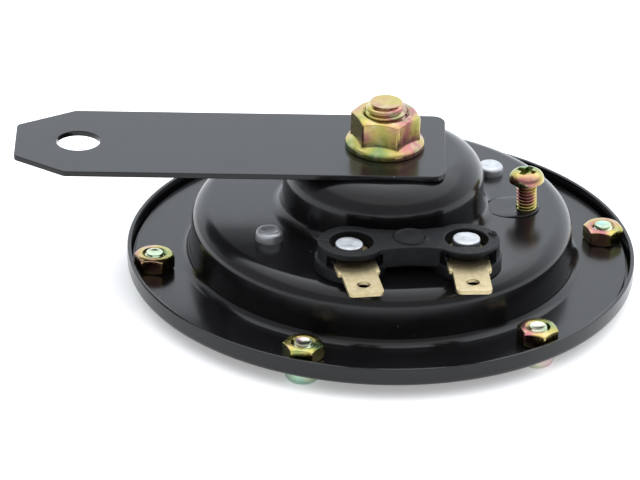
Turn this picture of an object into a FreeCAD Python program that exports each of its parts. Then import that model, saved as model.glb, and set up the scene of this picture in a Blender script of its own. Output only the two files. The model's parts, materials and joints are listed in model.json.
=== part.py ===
"""Disc car horn: pressed steel shell with a bracket, a diaphragm with its tone disc, and the magnet inside.

Everything is drawn in the horn's own frame: the horn's axis is Z, the shell's flange has its upper face at
z = 0, and the bracket runs along -X. Each piece is then moved, so that the origin of the finished part is
the centre of the bracket's mounting hole, on the face that lies on the boss. Lengths are millimetres.
"""
import FreeCAD
import Part
import math
import os

V = FreeCAD.Vector
UP = V(0, 0, 1)

# Sheets and running clearances
SHELL_SHEET = 0.8
RING_SHEET = 0.8
GASKET_SHEET = 0.25
DIAPHRAGM_SHEET = 0.25
TONE_SHEET = 1.0
BRACKET_SHEET = 1.1
FIT_GAP = 0.05
HOLE_GAP = 0.25

# Front ring, a pressed ring with its rim turned up round the shell's flange
RING_RIM_TOP = 1.8
RING_CORNER = 1.3
RIM_GAP = 0.9

# Shell: flange, steep wall, flat shoulder and the boss that holds the magnet
SCREW_INSET = 3.2
NUT_ROOM = 7.3
WALL_LEAN = 0.6
WALL_FOOT_FILLET = 1.9
WALL_TOP_FILLET = 3.3
SHOULDER_HEIGHT = 10.5
SHOULDER_WIDTH = 17.4
BOSS_TOP_RADIUS = 19.5
BOSS_LEAN = 0.3
BOSS_FOOT_FILLET = 2.3
BOSS_TOP_FILLET = 5.6
BOSS_HEIGHT = 22.6

# Six clamping screws and nuts
SCREW_COUNT = 6
SCREW_START_ANGLE = 9.25
SCREW_RADIUS = 2.0
SCREW_HEAD_RADIUS = 3.9
SCREW_HEAD_HEIGHT = 2.6
SCREW_HEAD_ROUND = 1.3
SCREW_END_PROUD = 0.25
SCREW_TIP_CHAMFER = 0.5
NUT_ACROSS_FLATS = 7.0
NUT_HEIGHT = 3.1
NUT_SINK = 0.55
NUT_LAND = 0.95
NUT_CHAMFER_ANGLE = 30.0
NUT_TURNS = [-12.0, -9.0, -13.0, -7.8, -7.0, -14.2]
RECESS_ARM = 4.6
RECESS_SLOT = 0.9
RECESS_DEPTH = 1.3

# Bracket with its mounting hole
BRACKET_EDGE_GAP = 0.4
BRACKET_REACH = 59.6
BRACKET_HOLE_RADIUS = 4.25
BRACKET_END = 12.2
BRACKET_END_WIDTH = 13.5
BRACKET_CHAMFER = 10.5
BRACKET_TAIL = 11.7
BRACKET_CORNER = 2.5
BRACKET_END_CORNER = 1.2

# Stud and flanged nut
STUD_RADIUS = 4.0
STUD_HEIGHT = 9.4
STUD_TIP_CHAMFER = 0.9
BRACKET_NUT_FLANGE_RADIUS = 7.75
BRACKET_NUT_FLANGE_EDGE = 1.3
BRACKET_NUT_FLANGE_RISE = 1.0
BRACKET_NUT_FLANGE_ROUND = 0.5
BRACKET_NUT_FLATS = 12.0
BRACKET_NUT_HEIGHT = 7.2
BRACKET_NUT_SINK = 0.45
BRACKET_NUT_TURN = -11.5

# Magnet: core, yoke, bobbin and winding
CORE_RADIUS = 6.4
YOKE_GAP = 0.5
YOKE_SHEET = 1.0
BOBBIN_WALL = 0.9
BOBBIN_BOSS_GAP = 2.9
WINDING_INSET = 0.8
POLE_GAP = 0.8

# Base plate that closes the magnet and carries the contacts
BASE_PLATE_SHEET = 1.0
BASE_PLATE_LAP = 2.6
BASE_PLATE_LOBE_RADIUS = 4.6
FRAME_RIVET_OFFSETS = [7.05, 7.05]
FRAME_RIVET_ANGLES = [213.7, 35.0]
FRAME_RIVET_HEADS = [2.05, 1.8]
RIVET_SHANK_RADIUS = 1.6
RIVET_HEAD_RADIUS = 2.65
RIVET_TAIL_RADIUS = 2.3
RIVET_TAIL_HEIGHT = 1.0
RIVET_EDGE = 0.45

# Armature: a spigot as wide as the core, a shoulder for the contact spring's finger, and a stud
ARMATURE_SHOULDER_WIDTH = 1.6
ARMATURE_SPIGOT_HEIGHT = 2.3
ARMATURE_GAP = 0.7
ARMATURE_STUD_RADIUS = 2.5
ARMATURE_STUD_PROUD = 0.1
ARMATURE_STUD_CHAMFER = 0.4

# Diaphragm, spacer and tone disc
DIAPHRAGM_INSET = 0.5
DIAPHRAGM_STEP_GAP = 0.3
DIAPHRAGM_STEP_RUN = 2.2
DIAPHRAGM_STEP_TOP = 0.5
DIAPHRAGM_STEP_ROUND = 1.2
DIAPHRAGM_CENTRE = 1.5
DIAPHRAGM_PAD_LAP = 2.0
DIAPHRAGM_PAD_ROUND = 6.0
SPACER_RADIUS = 6.0
SPACER_HEIGHT = 2.15
TONE_RING_GAP = 6.8
TONE_PAD_LAP = 3.0
TONE_STEP_RUN = 2.5
TONE_STEP_DROP = 0.75
TONE_STEP_ROUND = 2.0
TONE_LIP_HEIGHT = 1.5
TONE_BEND = 1.2
TONE_NUT_FLATS = 8.0
TONE_NUT_HEIGHT = 2.2
TONE_NUT_SINK = 0.3

# Terminal block, its two wells and the blades
TERMINAL_OFFSETS = [7.5, 9.08]
TERMINAL_ANGLES = [255.25, 301.18]
BLADE_TURNS = [-81.5, -88.0]
LOBE_RADIUS = 6.4
LOBE_FOOT = 0.5
LOBE_WALL = 2.3
BLOCK_TOP = 5.85
BLOCK_SEAT = 2.65
BRIDGE_LIFT = 1.75
BRIDGE_FRONT = 3.2
BRIDGE_BACK = 4.3
BLOCK_LIP = 1.1
SPIGOT_RADIUS = 2.9
BLADE_SHEET = 0.8
BLADE_WIDTH = 7.0
BLADE_STEP = 0.6
BLADE_SLOT_GAP = 0.15
BLADE_SHOULDER = 10.0
BLADE_LENGTH = 16.6
BLADE_HOLE_RADIUS = 1.15
BLADE_HOLE_INSET = 3.6
BLADE_TIP_CORNER = 1.1
BLADE_SHOULDER_CORNER = 0.5
BLADE_EYE_GAP = 0.225
BLADE_NECK_EASE = 0.6
TERMINAL_RIVET_SHANK = 1.5
TERMINAL_RIVET_HEADS = [1.8, 2.4]
INSULATOR_LAP = 0.5
INSULATOR_SHEET = 0.8

# Adjusting screw in the tongue lanced from the shoulder and bent up with it
TONGUE_OFFSET = 5.0
TONGUE_LENGTH = 1.6
TONGUE_RADIUS = 4.4
TONGUE_BEND_INSET = 0.45
TONGUE_SLIT = 0.15
TONGUE_ROOM = 1.0
TONGUE_RISE_ANGLE = 3.0
TONGUE_COLLAR_RADIUS = 2.8
TONGUE_COLLAR_HEIGHT = 2.0
ADJUSTER_OFFSET = 2.0
ADJUSTER_RADIUS = 2.0
ADJUSTER_TIP_CHAMFER = 0.5
ADJUSTER_HEAD_RADIUS = 3.45
ADJUSTER_HEAD_HEIGHT = 2.3
ADJUSTER_HEAD_ROUND = 1.6
ADJUSTER_RECESS_ARM = 3.9
ADJUSTER_LIFT = 6.1

# Contact breaker under the base plate
SPRING_SHEET = 0.3
SPRING_WIDTH = 5.0
SPRING_POST_OFFSET = 11.2
SPRING_BLOCK_HEIGHT = 1.6
SPRING_BLOCK_LENGTH = 6.0
FINGER_GAP = 0.6
FINGER_WIDTH = 4.0
CONTACT_SIDE = 6.3
CONTACT_RADIUS = 1.5
CONTACT_HEIGHT = 0.4
STRIP_SHEET = 0.8
STRIP_WIDTH = 5.0
STRIP_EYE_RADIUS = 3.2
STRIP_STEP_START = 4.5
STRIP_STEP_RUN = 2.5
STRIP_STEP_EASE = 0.3
TAG_TAIL_WIDTH = 2.4
TAG_TAIL_LENGTH = 7.0
POST_RIVET_RADIUS = 1.0
POST_HEAD_RADIUS = 1.8
POST_HEAD_HEIGHT = 0.7

# Radii and widths that follow from the boss outwards
BOSS_FOOT_RADIUS = BOSS_TOP_RADIUS + BOSS_LEAN
WALL_TOP_RADIUS = BOSS_FOOT_RADIUS + SHOULDER_WIDTH
WALL_FOOT_RADIUS = WALL_TOP_RADIUS + WALL_LEAN
SCREW_CIRCLE_RADIUS = WALL_FOOT_RADIUS + NUT_ROOM
FLANGE_RADIUS = SCREW_CIRCLE_RADIUS + SCREW_INSET
RING_RADIUS = FLANGE_RADIUS + RIM_GAP + RING_SHEET
RING_OPENING_RADIUS = WALL_FOOT_RADIUS
BRACKET_WIDTH = 2 * (BOSS_TOP_RADIUS - BOSS_TOP_FILLET - BRACKET_EDGE_GAP)
YOKE_RADIUS = BOSS_TOP_RADIUS - BOSS_TOP_FILLET - YOKE_GAP
BOBBIN_RADIUS = BOSS_TOP_RADIUS - SHELL_SHEET - BOBBIN_BOSS_GAP
WINDING_RADIUS = BOBBIN_RADIUS - WINDING_INSET
BASE_PLATE_RADIUS = BOSS_FOOT_RADIUS + BASE_PLATE_LAP
ARMATURE_SPIGOT_RADIUS = CORE_RADIUS
ARMATURE_RADIUS = ARMATURE_SPIGOT_RADIUS + ARMATURE_SHOULDER_WIDTH
BASE_PLATE_HOLE_RADIUS = ARMATURE_RADIUS + ARMATURE_GAP
DIAPHRAGM_RADIUS = FLANGE_RADIUS - DIAPHRAGM_INSET
DIAPHRAGM_STEP_RADIUS = WALL_FOOT_RADIUS - SHELL_SHEET - DIAPHRAGM_STEP_GAP
DIAPHRAGM_PAD_RADIUS = ARMATURE_RADIUS + DIAPHRAGM_PAD_LAP
TONE_RADIUS = RING_OPENING_RADIUS - TONE_RING_GAP
TONE_PAD_RADIUS = SPACER_RADIUS + TONE_PAD_LAP
LOBE_FOOT_RADIUS = LOBE_RADIUS + LOBE_FOOT
WELL_RADIUS = LOBE_RADIUS - LOBE_WALL
BLADE_EYE_RADIUS = WELL_RADIUS - BLADE_EYE_GAP
BLADE_SHOULDER_WIDTH = BLADE_WIDTH + 2 * BLADE_STEP
BLADE_HOLE_PLACE = BLADE_LENGTH - BLADE_HOLE_INSET
INSULATOR_RADIUS = SPIGOT_RADIUS + INSULATOR_LAP


def on_shoulder(offset, angle):
    """Place on the shoulder at a distance from the boss's foot, in the direction of an angle."""
    reach = BOSS_FOOT_RADIUS + offset
    return (reach * math.cos(math.radians(angle)), reach * math.sin(math.radians(angle)))


# Places that follow
FRAME_RIVET_PLACES = [on_shoulder(*pair) for pair in zip(FRAME_RIVET_OFFSETS, FRAME_RIVET_ANGLES)]
TERMINAL_PLACES = [on_shoulder(*pair) for pair in zip(TERMINAL_OFFSETS, TERMINAL_ANGLES)]
TONGUE_START = BOSS_FOOT_RADIUS + TONGUE_OFFSET
TONGUE_END = TONGUE_START + TONGUE_LENGTH
TONGUE_BEND = TONGUE_START - TONGUE_RADIUS + TONGUE_BEND_INSET
ADJUSTER_PLACE = (TONGUE_END + ADJUSTER_OFFSET, 0.0)
CONTACT_PLACE = (TERMINAL_PLACES[1][0], CONTACT_SIDE)
SPRING_POST = (ARMATURE_RADIUS + ARMATURE_GAP + SPRING_WIDTH / 2, TERMINAL_PLACES[1][1] + SPRING_POST_OFFSET)

# Heights that follow from the pieces stacked on each other, above the flange's upper face
FLANGE_UNDERSIDE = -SHELL_SHEET
GASKET_UNDERSIDE = FLANGE_UNDERSIDE - GASKET_SHEET
DIAPHRAGM_UNDERSIDE = GASKET_UNDERSIDE - DIAPHRAGM_SHEET
RING_UNDERSIDE = DIAPHRAGM_UNDERSIDE - RING_SHEET
SHOULDER_UNDERSIDE = SHOULDER_HEIGHT - SHELL_SHEET
BASE_PLATE_UNDERSIDE = SHOULDER_UNDERSIDE - BASE_PLATE_SHEET
BOSS_UNDERSIDE = BOSS_HEIGHT - SHELL_SHEET
YOKE_UNDERSIDE = BOSS_UNDERSIDE - YOKE_SHEET
BRACKET_TOP = BOSS_HEIGHT + BRACKET_SHEET
SPRING_TOP = BASE_PLATE_UNDERSIDE - SPRING_BLOCK_HEIGHT
ARMATURE_SHOULDER = SPRING_TOP - SPRING_SHEET - FIT_GAP
ARMATURE_TOP = ARMATURE_SHOULDER + ARMATURE_SPIGOT_HEIGHT
CORE_END = ARMATURE_TOP + POLE_GAP
STRIP_TOP = SPRING_TOP - SPRING_SHEET - 2 * CONTACT_HEIGHT
DIAPHRAGM_PAD_UNDERSIDE = DIAPHRAGM_CENTRE - DIAPHRAGM_SHEET
TONE_PAD_TOP = DIAPHRAGM_PAD_UNDERSIDE - SPACER_HEIGHT
TONE_NUT_TOP = TONE_PAD_TOP - TONE_SHEET
BLOCK_SEAT_TOP = SHOULDER_HEIGHT + BLOCK_SEAT
BLADE_TOP = BLOCK_SEAT_TOP + BLADE_SHEET
BLOCK_TOP_FACE = SHOULDER_HEIGHT + BLOCK_TOP


def unit(vector):
    """Vector of length one."""
    return vector * (1.0 / vector.Length)


def rounded_edges(points, radii):
    """Edges of a closed outline in the XZ plane whose corners are rounded by the given radii."""
    count = len(points)
    ends = []
    for i in range(count):
        corner = points[i]
        radius = radii[i]
        back = unit(points[i - 1] - corner)
        ahead = unit(points[(i + 1) % count] - corner)
        if radius <= 0:
            ends.append((corner, None, corner))
            continue
        half = back.getAngle(ahead) / 2
        reach = radius / math.tan(half)
        middle = corner + unit(back + ahead) * (radius / math.sin(half) - radius)
        ends.append((corner + back * reach, middle, corner + ahead * reach))
    edges = []
    for i in range(count):
        start, middle, stop = ends[i]
        if middle is not None:
            edges.append(Part.Arc(start, middle, stop).toShape())
        following = ends[(i + 1) % count][0]
        if (following - stop).Length > 1e-6:
            edges.append(Part.LineSegment(stop, following).toShape())
    return edges


def section(points, radii=None):
    """Face in the XZ plane from (radius, height) pairs, with optional corner radii."""
    corners = [V(r, 0, z) for r, z in points]
    if radii is None:
        radii = [0.0] * len(corners)
    return Part.Face(Part.Wire(Part.__sortEdges__(rounded_edges(corners, radii))))


def lathe(points, radii=None):
    """Solid turned round the Z axis from a closed section of (radius, height) pairs."""
    return section(points, radii).revolve(V(0, 0, 0), UP, 360)


def sheet_section(points, radii, thickness):
    """Closed section of a bent sheet: its upper line, and the same line moved down by the thickness."""
    line = [V(r, 0, z) for r, z in points]
    runs = [unit(line[i + 1] - line[i]) for i in range(len(line) - 1)]
    normals = [V(run.z, 0, -run.x) for run in runs]
    lower = [line[0] + normals[0] * thickness]
    lower_radii = [0.0]
    for i in range(1, len(line) - 1):
        before = normals[i - 1]
        after = normals[i]
        lower.append(line[i] + (before + after) * (thickness / (1 + before.dot(after))))
        turn = runs[i - 1].x * runs[i].z - runs[i - 1].z * runs[i].x
        lower_radii.append(radii[i] + math.copysign(thickness, turn))
    lower.append(line[-1] + normals[-1] * thickness)
    lower_radii.append(0.0)
    corners = [(p.x, p.z) for p in line + lower[::-1]]
    return corners, list(radii) + lower_radii[::-1]


def turned_sheet(points, radii, thickness):
    """Sheet metal turned round the Z axis. The line runs from the axis outwards along its upper face."""
    corners, corner_radii = sheet_section(points, radii, thickness)
    return lathe(corners, corner_radii)


def disc(radius, bottom, height, place=(0, 0)):
    """Upright cylinder."""
    return Part.makeCylinder(radius, height, V(place[0], place[1], bottom), UP)


def block(low, high):
    """Box between two corners."""
    return Part.makeBox(high[0] - low[0], high[1] - low[1], high[2] - low[2], V(*low))


def plate(outline, bottom, height):
    """Flat plate from a closed list of (x, y) corners."""
    corners = [V(x, y, bottom) for x, y in outline]
    corners.append(corners[0])
    return Part.Face(Part.makePolygon(corners)).extrude(V(0, 0, height))


def rounded_plate(outline, radii, bottom, height):
    """Flat plate from (x, y) corners, each rounded by its own radius."""
    edges = rounded_edges([V(x, 0, y) for x, y in outline], radii)
    face = Part.Face(Part.Wire(Part.__sortEdges__(edges)))
    face.rotate(V(0, 0, 0), V(1, 0, 0), 90)
    face = face.mirror(V(0, 0, 0), V(0, 1, 0))
    solid = face.extrude(V(0, 0, height))
    solid.translate(V(0, 0, bottom))
    return solid


def moved(shape, x=0.0, y=0.0, z=0.0, turn=0.0):
    """Copy of a shape, turned about the Z axis and then moved."""
    copy = shape.copy()
    copy.rotate(V(0, 0, 0), UP, turn)
    copy.translate(V(x, y, z))
    return copy


def fused(shapes):
    """One solid from several that overlap."""
    return shapes[0].multiFuse(shapes[1:]).removeSplitter()


def screw_places():
    """Angle and place of each clamping screw."""
    places = []
    for i in range(SCREW_COUNT):
        angle = SCREW_START_ANGLE + i * 360.0 / SCREW_COUNT
        x = SCREW_CIRCLE_RADIUS * math.cos(math.radians(angle))
        y = SCREW_CIRCLE_RADIUS * math.sin(math.radians(angle))
        places.append((angle, x, y))
    return places


def screw_holes(bottom, height):
    """Clearance holes for the clamping screws."""
    return [disc(SCREW_RADIUS + HOLE_GAP, bottom, height, (x, y)) for _, x, y in screw_places()]


def hex_prism(across_flats, bottom, height):
    """Upright hexagonal bar with a flat towards -Y."""
    corner = across_flats / math.sqrt(3)
    outline = [
        (corner * math.cos(math.radians(60 * i)), corner * math.sin(math.radians(60 * i))) for i in range(6)
    ]
    return plate(outline, bottom, height)


def hex_nut(across_flats, height, bore_radius, sink, both_ends=True):
    """Hexagon nut standing on z = 0, its corners turned off and its bore countersunk."""
    corner = across_flats / math.sqrt(3)
    land = NUT_LAND * across_flats / 2
    rise = (corner - land) * math.tan(math.radians(NUT_CHAMFER_ANGLE))
    foot = [(land, 0), (corner, rise)] if both_ends else [(corner, 0)]
    profile = [(0, 0)] + foot + [(corner, height - rise), (land, height), (0, height)]
    body = hex_prism(across_flats, 0, height).common(lathe(profile))
    mouth_radius = bore_radius + sink
    bore = [(0, -1), (bore_radius, -1), (bore_radius, height - sink), (mouth_radius, height)]
    bore += [(mouth_radius, height + 1), (0, height + 1)]
    return body.cut(lathe(bore))


def cross_recess(arm, slot, depth, top):
    """Cross-shaped pocket of a screw driver, its floor tapering inwards."""
    pockets = []
    for turn in (0, 90):
        wall = Part.Face(
            Part.makePolygon(
                [
                    V(-arm / 2, -slot / 2, top),
                    V(arm / 2, -slot / 2, top),
                    V(slot / 2, -slot / 2, top - depth),
                    V(-slot / 2, -slot / 2, top - depth),
                    V(-arm / 2, -slot / 2, top),
                ]
            )
        )
        pockets.append(moved(wall.extrude(V(0, slot, 0)), turn=turn))
    return fused(pockets)


def build_front_ring():
    """Clamping ring under the flange, its outer rim turned up."""
    line = [
        (RING_OPENING_RADIUS, DIAPHRAGM_UNDERSIDE),
        (RING_RADIUS - RING_SHEET, DIAPHRAGM_UNDERSIDE),
        (RING_RADIUS - RING_SHEET, RING_RIM_TOP),
    ]
    ring = turned_sheet(line, [0.0, RING_CORNER - RING_SHEET, 0.0], RING_SHEET)
    return ring.cut(screw_holes(RING_UNDERSIDE - 1, RING_SHEET + 2))


def shell_line():
    """Upper line of the shell from the stud's hole to the flange's edge, with its corner radii."""
    line = [
        (STUD_RADIUS + HOLE_GAP, BOSS_HEIGHT),
        (BOSS_TOP_RADIUS, BOSS_HEIGHT),
        (BOSS_FOOT_RADIUS, SHOULDER_HEIGHT),
        (WALL_TOP_RADIUS, SHOULDER_HEIGHT),
        (WALL_FOOT_RADIUS, 0.0),
        (FLANGE_RADIUS, 0.0),
    ]
    return line, [0.0, BOSS_TOP_FILLET, BOSS_FOOT_FILLET, WALL_TOP_FILLET, WALL_FOOT_FILLET, 0.0]


def filled_shell():
    """The shell's outer form as one solid, down to the flange's underside."""
    line, radii = shell_line()
    return lathe(line + [(FLANGE_RADIUS, -SHELL_SHEET), (line[0][0], -SHELL_SHEET)], radii + [0.0, 0.0])


def oval(radius, bottom, height):
    """Upright oval bar of two discs joined by a block, over the tongue's length."""
    ends = [disc(radius, bottom, height, (x, 0)) for x in (TONGUE_START, TONGUE_END)]
    return fused(ends + [block((TONGUE_START, -radius, bottom), (TONGUE_END, radius, bottom + height))])


def tongue_prism(radius, bottom, height):
    """Upright bar of the tongue's outline, cut off at its bend, which faces the boss."""
    far = TONGUE_END + 2 * radius
    keep = block((TONGUE_BEND, -2 * radius, bottom - 1), (far, 2 * radius, bottom + height + 1))
    return oval(radius, bottom, height).common(keep)


def bent(shape):
    """Shape turned up with the tongue about its bend."""
    copy = shape.copy()
    copy.rotate(V(TONGUE_BEND, 0, SHOULDER_UNDERSIDE), V(0, 1, 0), -TONGUE_RISE_ANGLE)
    return copy


def lance_tongue(shell):
    """Shell with a tongue sheared from its shoulder, drawn into a threaded collar and bent up."""
    bottom = SHOULDER_UNDERSIDE - TONGUE_COLLAR_HEIGHT
    deep = SHOULDER_HEIGHT - bottom + 2
    hole = tongue_prism(TONGUE_RADIUS + TONGUE_SLIT, bottom - 1, deep)
    outline = tongue_prism(TONGUE_RADIUS, bottom - 1, deep)
    collar = disc(TONGUE_COLLAR_RADIUS, bottom, TONGUE_COLLAR_HEIGHT + SHELL_SHEET / 2, ADJUSTER_PLACE)
    bore = disc(ADJUSTER_RADIUS + FIT_GAP, bottom - 1, deep, ADJUSTER_PLACE)
    tongue = fused([shell, collar]).common(outline).cut(bore)
    return fused([shell.cut(hole), bent(tongue)])


def build_housing():
    """Pressed shell: flange, wall, shoulder and boss in one sheet."""
    line, radii = shell_line()
    shell = turned_sheet(line, radii, SHELL_SHEET)
    holes = screw_holes(-SHELL_SHEET - 1, SHELL_SHEET + 2)
    for place in FRAME_RIVET_PLACES:
        holes.append(disc(RIVET_SHANK_RADIUS + FIT_GAP, SHOULDER_UNDERSIDE - 1, SHELL_SHEET + 2, place))
    for place in TERMINAL_PLACES:
        holes.append(disc(SPIGOT_RADIUS + FIT_GAP, SHOULDER_UNDERSIDE - 1, SHELL_SHEET + 2, place))
    return lance_tongue(shell.cut(holes))


def build_flange_gasket():
    """Flat gasket between the shell's flange and the diaphragm."""
    inner = WALL_FOOT_RADIUS + WALL_FOOT_FILLET
    ring = disc(DIAPHRAGM_RADIUS, GASKET_UNDERSIDE, GASKET_SHEET)
    ring = ring.cut(disc(inner, GASKET_UNDERSIDE - 1, GASKET_SHEET + 2))
    return ring.cut(screw_holes(GASKET_UNDERSIDE - 1, GASKET_SHEET + 2))


def build_diaphragm():
    """Spring-steel diaphragm: a flat clamped rim, one step and a shallow cone to the centre pad."""
    line = [
        (ARMATURE_STUD_RADIUS + FIT_GAP, DIAPHRAGM_CENTRE),
        (DIAPHRAGM_PAD_RADIUS, DIAPHRAGM_CENTRE),
        (DIAPHRAGM_STEP_RADIUS - DIAPHRAGM_STEP_RUN, DIAPHRAGM_STEP_TOP),
        (DIAPHRAGM_STEP_RADIUS, GASKET_UNDERSIDE),
        (DIAPHRAGM_RADIUS, GASKET_UNDERSIDE),
    ]
    radii = [0.0, DIAPHRAGM_PAD_ROUND, DIAPHRAGM_STEP_ROUND, DIAPHRAGM_STEP_ROUND, 0.0]
    sheet = turned_sheet(line, radii, DIAPHRAGM_SHEET)
    return sheet.cut(screw_holes(DIAPHRAGM_UNDERSIDE - 1, DIAPHRAGM_SHEET + 2))


def build_spacer():
    """Washer that holds the tone disc clear of the diaphragm."""
    washer = disc(SPACER_RADIUS, TONE_PAD_TOP, SPACER_HEIGHT)
    return washer.cut(disc(ARMATURE_STUD_RADIUS + FIT_GAP, TONE_PAD_TOP - 1, SPACER_HEIGHT + 2))


def build_tone_disc():
    """Dished steel disc with a raised pad and a lip turned up at its edge."""
    web = TONE_PAD_TOP - TONE_STEP_DROP
    line = [
        (ARMATURE_STUD_RADIUS + FIT_GAP, TONE_PAD_TOP),
        (TONE_PAD_RADIUS, TONE_PAD_TOP),
        (TONE_PAD_RADIUS + TONE_STEP_RUN, web),
        (TONE_RADIUS - TONE_SHEET, web),
        (TONE_RADIUS - TONE_SHEET, web - TONE_SHEET + TONE_LIP_HEIGHT),
    ]
    radii = [0.0, TONE_STEP_ROUND, TONE_STEP_ROUND, TONE_BEND - TONE_SHEET, 0.0]
    return turned_sheet(line, radii, TONE_SHEET)


def build_tone_disc_nut():
    """Thin nut that holds the tone disc and the diaphragm on the armature's stud."""
    bore = ARMATURE_STUD_RADIUS + FIT_GAP
    nut = hex_nut(TONE_NUT_FLATS, TONE_NUT_HEIGHT, bore, TONE_NUT_SINK)
    nut.rotate(V(0, 0, 0), V(1, 0, 0), 180)
    return moved(nut, z=TONE_NUT_TOP)


def build_armature():
    """Turned iron armature with its stud."""
    stud_end = TONE_NUT_TOP - TONE_NUT_HEIGHT - ARMATURE_STUD_PROUD
    profile = [
        (0, stud_end),
        (ARMATURE_STUD_RADIUS - ARMATURE_STUD_CHAMFER, stud_end),
        (ARMATURE_STUD_RADIUS, stud_end + ARMATURE_STUD_CHAMFER),
        (ARMATURE_STUD_RADIUS, DIAPHRAGM_CENTRE),
        (ARMATURE_RADIUS, DIAPHRAGM_CENTRE),
        (ARMATURE_RADIUS, ARMATURE_SHOULDER),
        (ARMATURE_SPIGOT_RADIUS, ARMATURE_SHOULDER),
        (ARMATURE_SPIGOT_RADIUS, ARMATURE_TOP),
        (0, ARMATURE_TOP),
    ]
    return lathe(profile)


def build_pole_core():
    """Iron core with the threaded stud that carries the bracket, turned in one piece."""
    stud_top = BRACKET_TOP + STUD_HEIGHT
    profile = [
        (0, CORE_END),
        (CORE_RADIUS, CORE_END),
        (CORE_RADIUS, YOKE_UNDERSIDE),
        (STUD_RADIUS, YOKE_UNDERSIDE),
        (STUD_RADIUS, stud_top - STUD_TIP_CHAMFER),
        (STUD_RADIUS - STUD_TIP_CHAMFER, stud_top),
        (0, stud_top),
    ]
    return lathe(profile)


def build_yoke_plate():
    """Iron washer between the core's shoulder and the boss."""
    washer = disc(YOKE_RADIUS, YOKE_UNDERSIDE, YOKE_SHEET)
    return washer.cut(disc(STUD_RADIUS + FIT_GAP, YOKE_UNDERSIDE - 1, YOKE_SHEET + 2))


def build_coil_bobbin():
    """Moulded bobbin that stands on the base plate round the core."""
    inside = CORE_RADIUS + FIT_GAP
    barrel = inside + BOBBIN_WALL
    profile = [
        (inside, SHOULDER_UNDERSIDE),
        (BOBBIN_RADIUS, SHOULDER_UNDERSIDE),
        (BOBBIN_RADIUS, SHOULDER_UNDERSIDE + BOBBIN_WALL),
        (barrel, SHOULDER_UNDERSIDE + BOBBIN_WALL),
        (barrel, YOKE_UNDERSIDE - BOBBIN_WALL),
        (BOBBIN_RADIUS, YOKE_UNDERSIDE - BOBBIN_WALL),
        (BOBBIN_RADIUS, YOKE_UNDERSIDE),
        (inside, YOKE_UNDERSIDE),
    ]
    return lathe(profile)


def build_coil_winding():
    """Copper winding, drawn as the solid ring that its turns fill."""
    barrel = CORE_RADIUS + FIT_GAP + BOBBIN_WALL
    bottom = SHOULDER_UNDERSIDE + BOBBIN_WALL
    height = YOKE_UNDERSIDE - BOBBIN_WALL - bottom
    return disc(WINDING_RADIUS, bottom, height).cut(disc(barrel, bottom - 1, height + 2))


def build_base_plate():
    """Iron plate under the shoulder, with a lobe for each frame rivet and a notch for the tongue."""
    bottom = BASE_PLATE_UNDERSIDE
    pieces = [disc(BASE_PLATE_RADIUS, bottom, BASE_PLATE_SHEET)]
    for x, y in FRAME_RIVET_PLACES:
        reach = math.hypot(x, y)
        angle = math.degrees(math.atan2(y, x))
        arm = block((0, -BASE_PLATE_LOBE_RADIUS, bottom), (reach, BASE_PLATE_LOBE_RADIUS, SHOULDER_UNDERSIDE))
        pieces.append(moved(arm, turn=angle))
        pieces.append(disc(BASE_PLATE_LOBE_RADIUS, bottom, BASE_PLATE_SHEET, (x, y)))
    body = fused(pieces)
    deep = BASE_PLATE_SHEET + 2
    cuts = [disc(BASE_PLATE_HOLE_RADIUS, bottom - 1, deep)]
    cuts.append(oval(TONGUE_RADIUS + TONGUE_ROOM, bottom - 1, deep))
    cuts.append(disc(POST_RIVET_RADIUS + FIT_GAP, bottom - 1, deep, SPRING_POST))
    for place in FRAME_RIVET_PLACES:
        cuts.append(disc(RIVET_SHANK_RADIUS + FIT_GAP, bottom - 1, deep, place))
    return body.cut(cuts)


def solid_rivet(shank, head, head_height, grip, tail):
    """Rivet whose head stands on z = 0, with its formed tail under the grip."""
    profile = [
        (0, head_height),
        (head, head_height),
        (head, 0),
        (shank, 0),
        (shank, -grip),
        (tail, -grip),
        (tail, -grip - RIVET_TAIL_HEIGHT),
        (0, -grip - RIVET_TAIL_HEIGHT),
    ]
    return lathe(profile, [0.0, RIVET_EDGE, 0.0, 0.0, 0.0, 0.0, RIVET_EDGE, 0.0])


def build_frame_rivets():
    """Rivets that hold the base plate under the shoulder."""
    grip = SHELL_SHEET + BASE_PLATE_SHEET
    rivets = []
    for (x, y), height in zip(FRAME_RIVET_PLACES, FRAME_RIVET_HEADS):
        rivet = solid_rivet(RIVET_SHANK_RADIUS, RIVET_HEAD_RADIUS, height, grip, RIVET_TAIL_RADIUS)
        rivets.append(moved(rivet, x, y, SHOULDER_HEIGHT))
    return Part.makeCompound(rivets)


def bridge_body():
    """Bar between the two lobes, waisted on both sides and raised off the shoulder."""
    (x1, y1), (x2, y2) = TERMINAL_PLACES
    length = math.hypot(x2 - x1, y2 - y1)
    turn = math.degrees(math.atan2(y2 - y1, x2 - x1))
    bottom = SHOULDER_HEIGHT + BRIDGE_LIFT
    bar = block((0, -LOBE_RADIUS, bottom), (length, LOBE_RADIUS, BLOCK_TOP_FACE))
    for side, half in ((-1, BRIDGE_FRONT), (1, BRIDGE_BACK)):
        depth = LOBE_RADIUS - half
        scoop = (length * length / 4 + depth * depth) / (2 * depth)
        centre = (length / 2, side * (half + scoop))
        bar = bar.cut(disc(scoop, bottom - 1, BLOCK_TOP_FACE - bottom + 2, centre))
    return moved(bar, x1, y1, turn=turn)


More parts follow.
